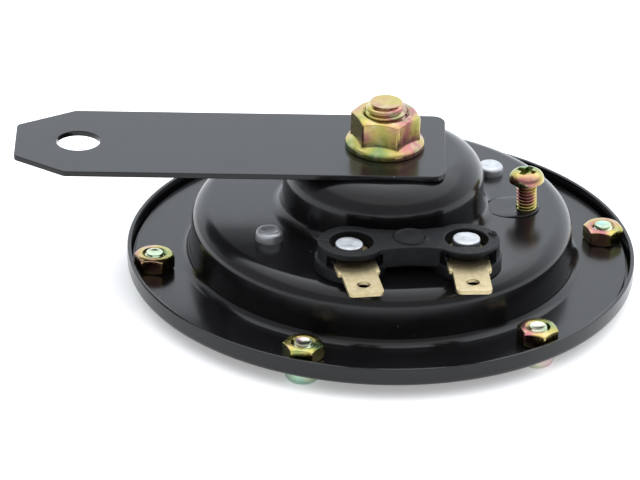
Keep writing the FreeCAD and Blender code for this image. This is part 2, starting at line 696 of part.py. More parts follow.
def build_terminal_block():
    """Moulded block: two lobes with a well for each terminal rivet, joined by a raised bridge."""
    bottom = SHOULDER_HEIGHT
    pieces = [bridge_body()]
    for place in TERMINAL_PLACES:
        pieces.append(disc(LOBE_FOOT_RADIUS, bottom, BLOCK_SEAT, place))
        pieces.append(disc(LOBE_RADIUS, bottom, BLOCK_TOP, place))
    spigots = [disc(SPIGOT_RADIUS, SHOULDER_UNDERSIDE, SHELL_SHEET + 1, place) for place in TERMINAL_PLACES]
    body = fused([fused(pieces).cut(filled_shell())] + spigots)
    cuts = []
    half = BLADE_SHOULDER_WIDTH / 2 + BLADE_SLOT_GAP
    for place, direction in zip(TERMINAL_PLACES, BLADE_TURNS):
        cuts.append(disc(WELL_RADIUS, BLOCK_SEAT_TOP, BLOCK_TOP, place))
        slot = block((0, -half, BLOCK_SEAT_TOP), (2 * LOBE_RADIUS, half, BLOCK_TOP_FACE - BLOCK_LIP))
        cuts.append(moved(slot, place[0], place[1], turn=direction))
        cuts.append(disc(TERMINAL_RIVET_SHANK + FIT_GAP, SHOULDER_UNDERSIDE - 1, BLOCK_TOP + 2, place))
    return body.cut(cuts)


def build_blade(index):
    """Brass blade: a round eye under the rivet, shoulders, and the blade with its locking hole."""
    wide = BLADE_SHOULDER_WIDTH / 2
    half = BLADE_WIDTH / 2
    neck = BLADE_EYE_RADIUS - BLADE_NECK_EASE
    outline = [
        (0, -wide),
        (BLADE_SHOULDER, -wide),
        (BLADE_SHOULDER, -half),
        (BLADE_LENGTH, -half),
        (BLADE_LENGTH, half),
        (BLADE_SHOULDER, half),
        (BLADE_SHOULDER, wide),
        (0, wide),
    ]
    radii = [0.0, BLADE_SHOULDER_CORNER, 0.0, BLADE_TIP_CORNER]
    tab = rounded_plate(outline, radii + radii[::-1], BLOCK_SEAT_TOP, BLADE_SHEET)
    inner = block((-wide, -wide, BLOCK_SEAT_TOP - 1), (WELL_RADIUS, wide, BLADE_TOP + 1))
    eye = disc(BLADE_EYE_RADIUS, BLOCK_SEAT_TOP, BLADE_SHEET)
    link = block((0, -neck, BLOCK_SEAT_TOP), (BLADE_SHOULDER, neck, BLADE_TOP))
    blade = fused([eye, link, tab.cut(inner)])
    blade = blade.cut(disc(TERMINAL_RIVET_SHANK + FIT_GAP, BLOCK_SEAT_TOP - 1, BLADE_SHEET + 2))
    blade = blade.cut(disc(BLADE_HOLE_RADIUS, BLOCK_SEAT_TOP - 1, BLADE_SHEET + 2, (BLADE_HOLE_PLACE, 0)))
    x, y = TERMINAL_PLACES[index]
    return moved(blade, x, y, turn=BLADE_TURNS[index])


def build_terminal_rivets():
    """Rivets that hold a blade each, with the insulator and the inner leads."""
    grip = BLADE_TOP - SHOULDER_UNDERSIDE + INSULATOR_SHEET + STRIP_SHEET
    rivets = []
    for (x, y), height in zip(TERMINAL_PLACES, TERMINAL_RIVET_HEADS):
        rivet = solid_rivet(TERMINAL_RIVET_SHANK, RIVET_HEAD_RADIUS, height, grip, RIVET_TAIL_RADIUS)
        rivets.append(moved(rivet, x, y, BLADE_TOP))
    return Part.makeCompound(rivets)


def build_terminal_insulators():
    """Insulating washers under the shoulder, one round each terminal rivet."""
    bottom = SHOULDER_UNDERSIDE - INSULATOR_SHEET
    bore = TERMINAL_RIVET_SHANK + FIT_GAP
    washers = []
    for place in TERMINAL_PLACES:
        washer = disc(INSULATOR_RADIUS, bottom, INSULATOR_SHEET, place)
        washers.append(washer.cut(disc(bore, bottom - 1, INSULATOR_SHEET + 2, place)))
    return Part.makeCompound(washers)


def build_coil_tag():
    """Eye that carries the winding's end to the left terminal rivet."""
    top = SHOULDER_UNDERSIDE - INSULATOR_SHEET
    x, y = TERMINAL_PLACES[0]
    eye = disc(STRIP_EYE_RADIUS, top - STRIP_SHEET, STRIP_SHEET, (x, y))
    half = TAG_TAIL_WIDTH / 2
    tail = block((x - TAG_TAIL_LENGTH, y - half, top - STRIP_SHEET), (x, y + half, top))
    tag = fused([eye, tail])
    return tag.cut(disc(TERMINAL_RIVET_SHANK + FIT_GAP, top - STRIP_SHEET - 1, STRIP_SHEET + 2, (x, y)))


def build_fixed_contact_strip():
    """Strip from the right terminal, stepped down to the contact, with an arm under the adjusting screw."""
    x, y = TERMINAL_PLACES[1]
    top = SHOULDER_UNDERSIDE - INSULATOR_SHEET
    step_start = y + STRIP_STEP_START
    step_end = step_start + STRIP_STEP_RUN
    low = STRIP_TOP - STRIP_SHEET
    side = [
        (y, top),
        (step_start, top),
        (step_end, STRIP_TOP),
        (CONTACT_PLACE[1] + STRIP_WIDTH / 2, STRIP_TOP),
        (CONTACT_PLACE[1] + STRIP_WIDTH / 2, low),
        (step_end - STRIP_STEP_EASE, low),
        (step_start - STRIP_STEP_EASE, top - STRIP_SHEET),
        (y, top - STRIP_SHEET),
    ]
    corners = [V(x - STRIP_WIDTH / 2, along, height) for along, height in side]
    corners.append(corners[0])
    strip = Part.Face(Part.makePolygon(corners)).extrude(V(STRIP_WIDTH, 0, 0))
    arm_end = ADJUSTER_PLACE[0] + ADJUSTER_RADIUS
    arm_half = STRIP_WIDTH / 2
    arm = block((x, ADJUSTER_PLACE[1] - arm_half, low), (arm_end, ADJUSTER_PLACE[1] + arm_half, STRIP_TOP))
    eye = disc(STRIP_EYE_RADIUS, top - STRIP_SHEET, STRIP_SHEET, (x, y))
    body = fused([strip, arm, eye])
    return body.cut(disc(TERMINAL_RIVET_SHANK + FIT_GAP, low - 1, top - low + 2, (x, y)))


def build_contact_spring():
    """Leaf spring with a finger over the armature's shoulder and an end that carries the moving contact."""
    x, y = SPRING_POST
    half = SPRING_WIDTH / 2
    bottom = SPRING_TOP - SPRING_SHEET
    end = CONTACT_PLACE[1] + half
    leaf = block((x - half, y - SPRING_BLOCK_LENGTH / 2, bottom), (x + half, end, SPRING_TOP))
    finger_tip = ARMATURE_SPIGOT_RADIUS + FINGER_GAP
    finger = block((finger_tip, -FINGER_WIDTH / 2, bottom), (x, FINGER_WIDTH / 2, SPRING_TOP))
    tip = block((x, CONTACT_PLACE[1] - half, bottom), (CONTACT_PLACE[0] + half, end, SPRING_TOP))
    hole = disc(POST_RIVET_RADIUS + FIT_GAP, bottom - 1, SPRING_SHEET + 2, SPRING_POST)
    return fused([leaf, finger, tip]).cut(hole)


def build_spring_block():
    """Insulating block between the base plate and the contact spring."""
    x, y = SPRING_POST
    half = SPRING_WIDTH / 2
    long_half = SPRING_BLOCK_LENGTH / 2
    body = block((x - half, y - long_half, SPRING_TOP), (x + half, y + long_half, BASE_PLATE_UNDERSIDE))
    return body.cut(disc(POST_RIVET_RADIUS + FIT_GAP, SPRING_TOP - 1, SPRING_BLOCK_HEIGHT + 2, SPRING_POST))


def build_spring_rivet():
    """Rivet that holds the contact spring and its block on the base plate, flush above."""
    bottom = SPRING_TOP - SPRING_SHEET
    shank = disc(POST_RIVET_RADIUS, bottom, SHOULDER_UNDERSIDE - bottom, SPRING_POST)
    head = disc(POST_HEAD_RADIUS, bottom - POST_HEAD_HEIGHT, POST_HEAD_HEIGHT, SPRING_POST)
    return fused([shank, head])


def build_contact_point(bottom):
    """Tungsten contact button."""
    return disc(CONTACT_RADIUS, bottom, CONTACT_HEIGHT, CONTACT_PLACE)


def adjuster_tip():
    """Height of the adjusting screw's tip before the tongue is bent: bent, it just clears the strip."""
    angle = math.radians(TONGUE_RISE_ANGLE)
    lift = (ADJUSTER_PLACE[0] - TONGUE_BEND) * math.sin(angle)
    lean = (ADJUSTER_RADIUS - ADJUSTER_TIP_CHAMFER) * math.sin(angle)
    depth = SHOULDER_UNDERSIDE - STRIP_TOP - FIT_GAP - lean + lift
    return SHOULDER_UNDERSIDE - depth / math.cos(angle)


def build_adjusting_screw():
    """Round-headed screw with a cross recess, square to the tongue and standing clear of it."""
    seat = SHOULDER_HEIGHT + ADJUSTER_LIFT
    tip = adjuster_tip()
    profile = [
        (0, tip),
        (ADJUSTER_RADIUS - ADJUSTER_TIP_CHAMFER, tip),
        (ADJUSTER_RADIUS, tip + ADJUSTER_TIP_CHAMFER),
        (ADJUSTER_RADIUS, seat),
        (ADJUSTER_HEAD_RADIUS, seat),
        (ADJUSTER_HEAD_RADIUS, seat + ADJUSTER_HEAD_HEIGHT),
        (0, seat + ADJUSTER_HEAD_HEIGHT),
    ]
    screw = lathe(profile, [0.0, 0.0, 0.0, 0.0, 0.0, ADJUSTER_HEAD_ROUND, 0.0])
    recess = cross_recess(ADJUSTER_RECESS_ARM, RECESS_SLOT, RECESS_DEPTH, seat + ADJUSTER_HEAD_HEIGHT)
    return bent(moved(screw.cut(recess), *ADJUSTER_PLACE))


def build_bracket():
    """Flat steel bracket with a tapered end round its mounting hole."""
    half = BRACKET_WIDTH / 2
    end = -BRACKET_REACH - BRACKET_END
    end_half = BRACKET_END_WIDTH / 2
    outline = [
        (BRACKET_TAIL, -half),
        (BRACKET_TAIL, half),
        (end + BRACKET_CHAMFER, half),
        (end, end_half),
        (end, -end_half),
        (end + BRACKET_CHAMFER, -half),
    ]
    radii = [BRACKET_CORNER, BRACKET_CORNER, BRACKET_END_CORNER, BRACKET_END_CORNER]
    radii += [BRACKET_END_CORNER, BRACKET_END_CORNER]
    body = rounded_plate(outline, radii, BOSS_HEIGHT, BRACKET_SHEET)
    hole = disc(BRACKET_HOLE_RADIUS, BOSS_HEIGHT - 1, BRACKET_SHEET + 2, (-BRACKET_REACH, 0))
    return body.cut([hole, disc(STUD_RADIUS + HOLE_GAP, BOSS_HEIGHT - 1, BRACKET_SHEET + 2)])


def build_bracket_nut():
    """Hexagon nut with a conical flange."""
    slope_top = BRACKET_NUT_FLANGE_EDGE + BRACKET_NUT_FLANGE_RISE
    flange = lathe(
        [
            (0, 0),
            (BRACKET_NUT_FLANGE_RADIUS, 0),
            (BRACKET_NUT_FLANGE_RADIUS, BRACKET_NUT_FLANGE_EDGE),
            (BRACKET_NUT_FLATS / 2, slope_top),
            (0, slope_top),
        ],
        [0.0, 0.0, BRACKET_NUT_FLANGE_ROUND, 0.0, 0.0],
    )
    bore = STUD_RADIUS + FIT_GAP
    hexagon = hex_nut(BRACKET_NUT_FLATS, BRACKET_NUT_HEIGHT, bore, BRACKET_NUT_SINK, both_ends=False)
    nut = flange.cut(disc(bore, -1, slope_top + 2)).fuse(hexagon).removeSplitter()
    return moved(nut, z=BRACKET_TOP, turn=BRACKET_NUT_TURN)


def build_flange_screws():
    """Six round-headed screws, their heads under the front ring."""
    top = NUT_HEIGHT + SCREW_END_PROUD
    bottom = RING_UNDERSIDE - SCREW_HEAD_HEIGHT
    profile = [
        (0, bottom),
        (SCREW_HEAD_RADIUS, bottom),
        (SCREW_HEAD_RADIUS, RING_UNDERSIDE),
        (SCREW_RADIUS, RING_UNDERSIDE),
        (SCREW_RADIUS, top - SCREW_TIP_CHAMFER),
        (SCREW_RADIUS - SCREW_TIP_CHAMFER, top),
        (0, top),
    ]
    screw = lathe(profile, [0.0, SCREW_HEAD_ROUND, 0.0, 0.0, 0.0, 0.0, 0.0])
    recess = cross_recess(RECESS_ARM, RECESS_SLOT, RECESS_DEPTH, -bottom)
    recess.rotate(V(0, 0, 0), V(1, 0, 0), 180)
    screw = screw.cut(recess)
    return Part.makeCompound([moved(screw, x, y, turn=angle) for angle, x, y in screw_places()])


def build_flange_nuts():
    """Six hexagon nuts on the shell's flange."""
    nut = hex_nut(NUT_ACROSS_FLATS, NUT_HEIGHT, SCREW_RADIUS + FIT_GAP, NUT_SINK)
    turned = zip(screw_places(), NUT_TURNS)
    return Part.makeCompound([moved(nut, x, y, turn=turn) for (_, x, y), turn in turned])


PIECES = {
    "front_ring": build_front_ring,
    "housing": build_housing,
    "flange_gasket": build_flange_gasket,
    "diaphragm": build_diaphragm,
    "tone_disc_spacer": build_spacer,
    "tone_disc": build_tone_disc,
    "tone_disc_nut": build_tone_disc_nut,
    "armature": build_armature,
    "pole_core": build_pole_core,
    "yoke_plate": build_yoke_plate,
    "coil_bobbin": build_coil_bobbin,
    "coil_winding": build_coil_winding,
    "base_plate": build_base_plate,
    "frame_rivets": build_frame_rivets,
    "terminal_block": build_terminal_block,
    "blade_terminal_left": lambda: build_blade(0),
    "blade_terminal_right": lambda: build_blade(1),
    "terminal_rivets": build_terminal_rivets,
    "terminal_insulators": build_terminal_insulators,
    "coil_tag": build_coil_tag,
    "fixed_contact_strip": build_fixed_contact_strip,
    "fixed_contact_point": lambda: build_contact_point(STRIP_TOP),
    "moving_contact_point": lambda: build_contact_point(STRIP_TOP + CONTACT_HEIGHT),
    "moving_contact_spring": build_contact_spring,
    "spring_block": build_spring_block,
    "spring_rivet": build_spring_rivet,
    "adjusting_screw": build_adjusting_screw,
    "mounting_bracket": build_bracket,
    "bracket_nut": build_bracket_nut,
    "flange_screws": build_flange_screws,
    "flange_nuts": build_flange_nuts,
}


def main():
    """Build each piece, move it to the part's frame and write it."""
    os.makedirs("parts", exist_ok=True)
    for name, build in PIECES.items():
        shape = build()
        shape.translate(V(BRACKET_REACH, 0, -BOSS_HEIGHT))
        shape.exportStep("parts/" + name + ".step")
        print(name, "solids", len(shape.Solids), "volume %.1f" % shape.Volume, "valid", shape.isValid())


main()
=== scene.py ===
import json
import math

import bmesh
import bpy
import mathutils
from mathutils import Matrix, Vector


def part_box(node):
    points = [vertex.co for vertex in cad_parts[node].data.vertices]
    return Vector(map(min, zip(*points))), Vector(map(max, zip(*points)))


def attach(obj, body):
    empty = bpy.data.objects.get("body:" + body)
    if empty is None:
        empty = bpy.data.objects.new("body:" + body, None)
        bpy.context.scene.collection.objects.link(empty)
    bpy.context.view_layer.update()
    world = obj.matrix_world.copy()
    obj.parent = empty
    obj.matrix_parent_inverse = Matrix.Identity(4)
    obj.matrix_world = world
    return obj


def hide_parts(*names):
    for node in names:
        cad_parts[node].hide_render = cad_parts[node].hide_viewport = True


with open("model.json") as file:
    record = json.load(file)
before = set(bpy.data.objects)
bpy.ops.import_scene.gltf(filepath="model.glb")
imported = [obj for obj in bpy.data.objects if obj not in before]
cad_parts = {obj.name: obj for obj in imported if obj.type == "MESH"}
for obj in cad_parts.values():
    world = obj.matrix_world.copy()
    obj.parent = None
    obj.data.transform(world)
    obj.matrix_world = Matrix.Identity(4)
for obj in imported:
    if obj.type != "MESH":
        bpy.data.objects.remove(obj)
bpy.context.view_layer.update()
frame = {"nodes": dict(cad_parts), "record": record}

# The horn's own frame: its axis is Z and the shell's flange has its upper face at z = 0, in millimetres
MM = 0.001
CORE_LOW, CORE_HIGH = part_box("pole_core")
NUTS_LOW, NUTS_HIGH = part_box("flange_nuts")
BRACKET_LOW, BRACKET_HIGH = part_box("mounting_bracket")
SCREWS_LOW, SCREWS_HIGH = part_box("flange_screws")
ADJUSTER_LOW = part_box("adjusting_screw")[0]
TONE_LOW, TONE_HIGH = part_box("tone_disc")
TONE_NUT_LOW, TONE_NUT_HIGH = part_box("tone_disc_nut")
ORIGIN = Vector(((CORE_LOW.x + CORE_HIGH.x) / 2, (CORE_LOW.y + CORE_HIGH.y) / 2, NUTS_LOW.z))

# Meshes: points round the largest pieces, and the play between a thread and its nut
LARGE_SEGMENTS = 256
THREAD_PLAY = 0.05

# Sheets and main sizes
SHELL_SHEET = 0.8
RING_SHEET = 0.8
RING_RADIUS = 49.995
RING_RIM_TOP = 1.8
RING_TOP = -1.3
RING_BEND = 0.5
YOKE_SHEET = 1.0
TONE_SHEET = 1.0
TONE_BORE_RADIUS = 2.55
TONE_HUB_RADIUS = 9.0
TONE_WEB_RADIUS = 11.5
TONE_DISH = 0.75
TONE_LIP = 0.5
TONE_BEND = 2.0
TONE_NUT_FLATS = 8.0
FLANGE_RADIUS = 48.3
WALL_FOOT_RADIUS = 37.8
WALL_TOP_RADIUS = 37.2
WALL_FOOT_FILLET = 1.9
WALL_TOP_FILLET = 3.3
SHOULDER_HEIGHT = 10.5
BOSS_FOOT_RADIUS = 19.8
BOSS_TOP_RADIUS = 19.5
BOSS_FOOT_FILLET = 2.3
BOSS_TOP_FILLET = 5.6
BOSS_HEIGHT = (BRACKET_LOW.z - NUTS_LOW.z) / MM
BRACKET_SHEET = (BRACKET_HIGH.z - BRACKET_LOW.z) / MM
BRACKET_TOP = BOSS_HEIGHT + BRACKET_SHEET

# Bracket: one end tapers from two corners that aren't quite level, the other is sheared out of square
BRACKET_TAPER = 10.5
BRACKET_TAPER_SHIFTS = [0.7, -0.6]
BRACKET_TAPER_CORNER = 1.2
BRACKET_END_HALF = 6.75
BRACKET_SLANT = 1.2
BRACKET_TAIL_CORNER = 2.5
BRACKET_HOLE_RADIUS = 4.25

# Stud and its nut
CORE_RADIUS = 6.4
STUD_RADIUS = 4.0
STUD_TIP_RADII = [3.1, 2.9]
STUD_PITCH = 1.25
STUD_THREAD_DEPTH = 0.7
STUD_HOLE_RADIUS = 4.25
STUD_NUT_FLATS = 12.0
STUD_NUT_HEIGHT = 7.2
STUD_NUT_TURN = -11.5
SKIRT_RADIUS = 7.75
SKIRT_HEIGHTS = [2.3, 1.3]

# Clamping screws, their ends by radius and depth, and their nuts; the adjusting screw has their pitch
SMALL_PITCH = 0.7
SCREW_COUNT = 6
SCREW_CIRCLE_RADIUS = 45.1
SCREW_START_ANGLE = 9.25
SCREW_RADIUS = 2.0
SCREW_HEAD_RADIUS = 3.4
SCREW_HEAD_ROUND = 1.3
SCREW_TIP = [(1.6, 0.0), (1.25, 0.0), (1.0, 0.1), (0, 0.16)]
SCREW_THREAD_DEPTH = 0.36
NUT_FLATS = 7.0
NUT_TURNS = [-12.0, -9.0, -13.0, -7.8, -7.0, -14.2]

# Terminals and rivets on the shoulder
TERMINAL_OFFSETS = [7.5, 9.08]
TERMINAL_ANGLES = [255.25, 301.18]
FRAME_RIVET_OFFSETS = [7.05, 7.05]
FRAME_RIVET_ANGLES = [213.7, 35.0]
FRAME_RIVET_HEADS = [2.05, 1.8]
FRAME_RIVET_SHANK = 1.6
FRAME_RIVET_DIMPLES = [0.22, 0.06]
TERMINAL_RIVET_HEADS = [1.95, 2.55]
TERMINAL_RIVET_SHANK = 1.5
TERMINAL_RIVET_DIMPLE = 0.05
TERMINAL_RIVET_SHIFTS = [-0.43, 0.0]
RIVET_HEAD_RADIUS = 2.65
RIVET_DIMPLE_RADII = [1.0, 1.6]
RIVET_TAIL_RADIUS = 2.3
RIVET_TAIL_HEIGHT = 1.0

# Terminal block and its mould marks
LOBE_RADIUS = 6.4
LOBE_FOOT_RADIUS = 6.9
WELL_RADIUS = 4.1
BLOCK_SEAT_TOP = SHOULDER_HEIGHT + 2.65
BLOCK_TOP = SHOULDER_HEIGHT + 5.85
BLOCK_LIPS = [1.1, 0.65]
PASSAGE_HALF = 4.4
SLOT_DEPTH = 1.6
SLOT_HALF = 5.3
SLOT_SWEEP = 60
SLOT_CORNER = 2.9
WELL_FRONTS = [4.05, 3.2]
BRIDGE_BOTTOM = SHOULDER_HEIGHT + 1.75
BRIDGE_FRONT = 3.2
BRIDGE_BACK = 4.3
MARK_PLACE = (4.35, -24.6)
MARK_RADII = [3.3, 3.3, 2.9, 2.75]
PIP_PLACE = (20.1, -22.7)
PIP_RADII = [0.8, 0.75, 0.35, 0.3]
NICK_PLACE = (-12.5, -26.5)
NICK_TURN = 80
NICK_HALF_WIDTH = 0.22
NICK_HALF_LENGTH = 1.4
NICK_DEPTH = 0.25

# Blades, from their rivets outwards
BLADE_TURNS = [-81.2, -87.2]
BLADE_SHEET = 0.8
BLADE_TOP = BLOCK_SEAT_TOP + BLADE_SHEET
BLADE_EYE_RADIUS = WELL_RADIUS - 0.225
BLADE_NECK_HALF = BLADE_EYE_RADIUS - 0.6
BLADE_WIDE_HALF = 4.1
BLADE_SHOULDER = 8.5
BLADE_HALF = 3.4
BLADE_LENGTH = 16.6
BLADE_RIVET_HOLE = 1.55
LOCKING_HOLE_RADIUS = 1.25
LOCKING_HOLE_REACH = 13.0

# Tongue and adjusting screw
TONGUE_START = 24.8
TONGUE_END = 26.4
TONGUE_RADIUS = 4.4
TONGUE_SLIT = 0.08
TONGUE_BEND = 20.85
TONGUE_RISE_ANGLE = 3.0
COLLAR_RADIUS = 2.8
COLLAR_DEPTH = 1.2
ADJUSTER_X = 28.4
ADJUSTER_RADIUS = 2.0
ADJUSTER_THREAD_DEPTH = 0.42
ADJUSTER_SEAT = SHOULDER_HEIGHT + 5.7
ADJUSTER_NECK = 0.25
ADJUSTER_HEAD_HEIGHT = 2.05
ADJUSTER_HEAD_RADIUS = 3.45
ADJUSTER_HEAD_ROUND = 1.75
ADJUSTER_RECESS_TURN = 56.0

# Seed of the wear's noise, which Blender otherwise takes from the clock
WEAR_SEED = 1

# Form of threads: steps in a turn, the flat crest's share, the run-out, and the end's slope
THREAD_STEPS = 10
THREAD_CREST = 0.35
THREAD_RUN_OUT = 0.4
THREAD_END_SLOPE = 0.6

# Form of nuts: reach of the eased corners, share of the flat land, and the chamfer's angle
NUT_CORNER = 0.987
NUT_LAND = 0.95
NUT_CHAMFER_ANGLE = 30

# Form of cross recesses: the tool's start above the head, its taper, and the ease of its inner corners
RECESS_START = 0.5
RECESS_TAPER = 0.8
RECESS_CORNER = 1.3


def at(x, y, z):
    """Point of the horn's own frame, in the scene."""
    return ORIGIN + Vector((x, y, z)) * MM


def on_shoulder(offset, angle):
    """Place on the shoulder at a distance from the boss's foot, in the direction of an angle."""
    reach = BOSS_FOOT_RADIUS + offset
    return (reach * math.cos(math.radians(angle)), reach * math.sin(math.radians(angle)))


TERMINAL_PLACES = [on_shoulder(*pair) for pair in zip(TERMINAL_OFFSETS, TERMINAL_ANGLES)]
FRAME_RIVET_PLACES = [on_shoulder(*pair) for pair in zip(FRAME_RIVET_OFFSETS, FRAME_RIVET_ANGLES)]


def height_of(point):
    """Height of a point of the frame above the flange, in millimetres."""
    return (point.z - ORIGIN.z) / MM


def linked(name, mesh):
    """Object in the scene from a mesh."""
    obj = bpy.data.objects.new(name, mesh)
    bpy.context.scene.collection.objects.link(obj)
    return obj


def finish_mesh(name, mesh, smooth_angle):
    """Object from a mesh, with outward normals, smooth but for its sharp edges."""
    tidy = bmesh.new()
    tidy.from_mesh(mesh)
    bmesh.ops.remove_doubles(tidy, verts=tidy.verts, dist=1e-7)
    bmesh.ops.recalc_face_normals(tidy, faces=tidy.faces)
    tidy.to_mesh(mesh)
    tidy.free()
    mesh.shade_smooth()
    mesh.set_sharp_from_angle(angle=math.radians(smooth_angle))
    return linked(name, mesh)


def skin(name, rings, closed=False, smooth_angle=35):
    """Mesh through rings of points that all have the same count; open ends are closed by caps."""
    count = len(rings[0])
    verts = [at(*point) for ring in rings for point in ring]
    faces = []
    spans = len(rings) if closed else len(rings) - 1
    for i in range(spans):
        here = i * count
        there = ((i + 1) % len(rings)) * count
        for j in range(count):
            k = (j + 1) % count
            faces.append((here + j, here + k, there + k, there + j))
    if not closed:
        faces.append(tuple(range(count)))
        faces.append(tuple(reversed(range((len(rings) - 1) * count, len(rings) * count))))
    mesh = bpy.data.meshes.new(name)
    mesh.from_pydata(verts, [], faces)
    return finish_mesh(name, mesh, smooth_angle)


def grid(name, rows, smooth_angle=35):
    """Mesh through rows of points; where rows meet themselves or each other, they are welded."""
    count = len(rows[0])
    verts = [at(*point) for row in rows for point in row]
    faces = []
    for i in range(len(rows) - 1):
        for j in range(count - 1):
            here = i * count + j
            faces.append((here, here + 1, here + count + 1, here + count))
    mesh = bpy.data.meshes.new(name)
    mesh.from_pydata(verts, [], faces)
    return finish_mesh(name, mesh, smooth_angle)


def rounded(points, radii, steps=6):
    """Open line of (radius, height) points with its corners rounded."""
    line = []
    for i, point in enumerate(points):
        corner = Vector(point)
        radius = radii[i]
        if radius <= 0 or i in (0, len(points) - 1):
            line.append(tuple(corner))
            continue
        back = (Vector(points[i - 1]) - corner).normalized()
        ahead = (Vector(points[i + 1]) - corner).normalized()
        half = back.angle(ahead) / 2
        centre = corner + (back + ahead).normalized() * (radius / math.sin(half))
        start = corner + back * (radius / math.tan(half)) - centre
        stop = corner + ahead * (radius / math.tan(half)) - centre
        sweep = start.angle_signed(stop)
        for k in range(steps + 1):
            turn = -sweep * k / steps
            x = start.x * math.cos(turn) - start.y * math.sin(turn)
            y = start.x * math.sin(turn) + start.y * math.cos(turn)
            line.append((centre.x + x, centre.y + y))
    return line


def circle(radius, z, segments, x=0.0, y=0.0):
    """Ring of points."""
    angles = [2 * math.pi * i / segments for i in range(segments)]
    return [(x + radius * math.cos(a), y + radius * math.sin(a), z) for a in angles]


def flat_circle(radius, segments, x=0.0, y=0.0):
    """Ring of (x, y) points."""
    return [(px, py) for px, py, _ in circle(radius, 0, segments, x, y)]


def turned(name, line, segments=128, x=0.0, y=0.0, closed=False, smooth_angle=35):
    """Turned piece from a line of (radius, height) points."""
    return skin(name, [circle(r, z, segments, x, y) for r, z in line], closed, smooth_angle)


def sheet_loop(points, radii, thickness, steps=8):
    """Closed line round a bent sheet whose upper line is given from the axis outwards."""
    line = [Vector(p) for p in points]
    runs = [(line[i + 1] - line[i]).normalized() for i in range(len(line) - 1)]
    normals = [Vector((run.y, -run.x)) for run in runs]
    lower = [line[0] + normals[0] * thickness]
    lower_radii = [0.0]
    for i in range(1, len(line) - 1):
        before = normals[i - 1]
        after = normals[i]
        lower.append(line[i] + (before + after) * (thickness / (1 + before.dot(after))))
        side = runs[i - 1].x * runs[i].y - runs[i - 1].y * runs[i].x
        lower_radii.append(radii[i] + math.copysign(thickness, side))
    lower.append(line[-1] + normals[-1] * thickness)
    lower_radii.append(0.0)
    upper = rounded(points, radii, steps)
    under = rounded([tuple(p) for p in lower], lower_radii, steps)
    return upper + under[::-1]


def threaded(name, below, stop, pitch, depth, above, segments=48):
    """Turned piece with a thread from the last point of the line below up to a chamfered stop."""
    radius, start = below[-1]
    tip_radius = above[0][0]

    def ring(r, z):
        return [point_at(r, z, j) for j in range(segments + 1)]

    def point_at(r, z, j):
        angle = 2 * math.pi * j / segments
        return (r * math.cos(angle), r * math.sin(angle), z)

    def thread_radius(z, j):
        wave = 0.5 - 0.5 * math.cos(2 * math.pi * ((z - start) / pitch - j / segments))
        sink = max((1 + THREAD_CREST) * wave - THREAD_CREST, 0.0)
        fade = min((stop - z) / THREAD_RUN_OUT, 1.0)
        return min(radius, tip_radius + THREAD_END_SLOPE * (stop - z)) - depth * sink * fade

    rows = [ring(r, z) for r, z in below]
    turns = math.ceil((stop - start) / pitch)
    for n in range(-THREAD_STEPS, (turns + 1) * THREAD_STEPS):
        row = []
        for j in range(segments + 1):
            z = min(max(start + (n / THREAD_STEPS + j / segments) * pitch, start), stop)
            row.append(point_at(thread_radius(z, j), z, j))
        rows.append(row)
    rows += [ring(r, z) for r, z in above]
    return grid(name, rows, 50)


def joined(name, pieces):
    """One object from several meshes."""
    merged = bmesh.new()
    for piece in pieces:
        merged.from_mesh(piece.data)
    mesh = bpy.data.meshes.new(name)
    merged.to_mesh(mesh)
    merged.free()
    for piece in pieces:
        bpy.data.objects.remove(piece)
    return linked(name, mesh)


def repeated(name, piece, places):
    """One object with the piece, drawn on the horn's axis, at each place of x, y and turn in degrees."""
    copies = []
    for x, y, turn in places:
        mesh = piece.data.copy()
        spin = Matrix.Translation(ORIGIN) @ Matrix.Rotation(math.radians(turn), 4, "Z")
        mesh.transform(Matrix.Translation(Vector((x, y, 0)) * MM) @ spin @ Matrix.Translation(-ORIGIN))
        copies.append(linked(name, mesh))
    bpy.data.objects.remove(piece)
    return joined(name, copies)


def baked(body, smooth_angle=35):
    """The body with its modifiers applied."""
    depsgraph = bpy.context.evaluated_depsgraph_get()
    mesh = bpy.data.meshes.new_from_object(body.evaluated_get(depsgraph))
    name = body.name
    bpy.data.objects.remove(body)
    return finish_mesh(name, mesh, smooth_angle)


def carved(body, tools, operation="DIFFERENCE"):
    """The body with the tools cut away, or added."""
    for tool in tools:
        modifier = body.modifiers.new("carve", "BOOLEAN")
        modifier.operation = operation
        modifier.solver = "EXACT"
        modifier.object = tool
    solid = baked(body)
    for tool in tools:
        bpy.data.objects.remove(tool)
    return solid


def softened(body, width, angle=25, segments=2):
    """The body with its sharp edges bevelled by a width in millimetres."""
    modifier = body.modifiers.new("soften", "BEVEL")
    modifier.width = width * MM
    modifier.segments = segments
    modifier.limit_method = "ANGLE"
    modifier.angle_limit = math.radians(angle)
    modifier.use_clamp_overlap = False
    return baked(body, 40)


def worn(piece, amount, cell):
    """The piece with its points moved a little, by a smooth noise of the given cell size."""
    mathutils.noise.seed_set(WEAR_SEED)
    for vertex in piece.data.vertices:
        drift = mathutils.noise.noise_vector(vertex.co / (cell * MM))
        vertex.co += drift * amount * MM
    return piece


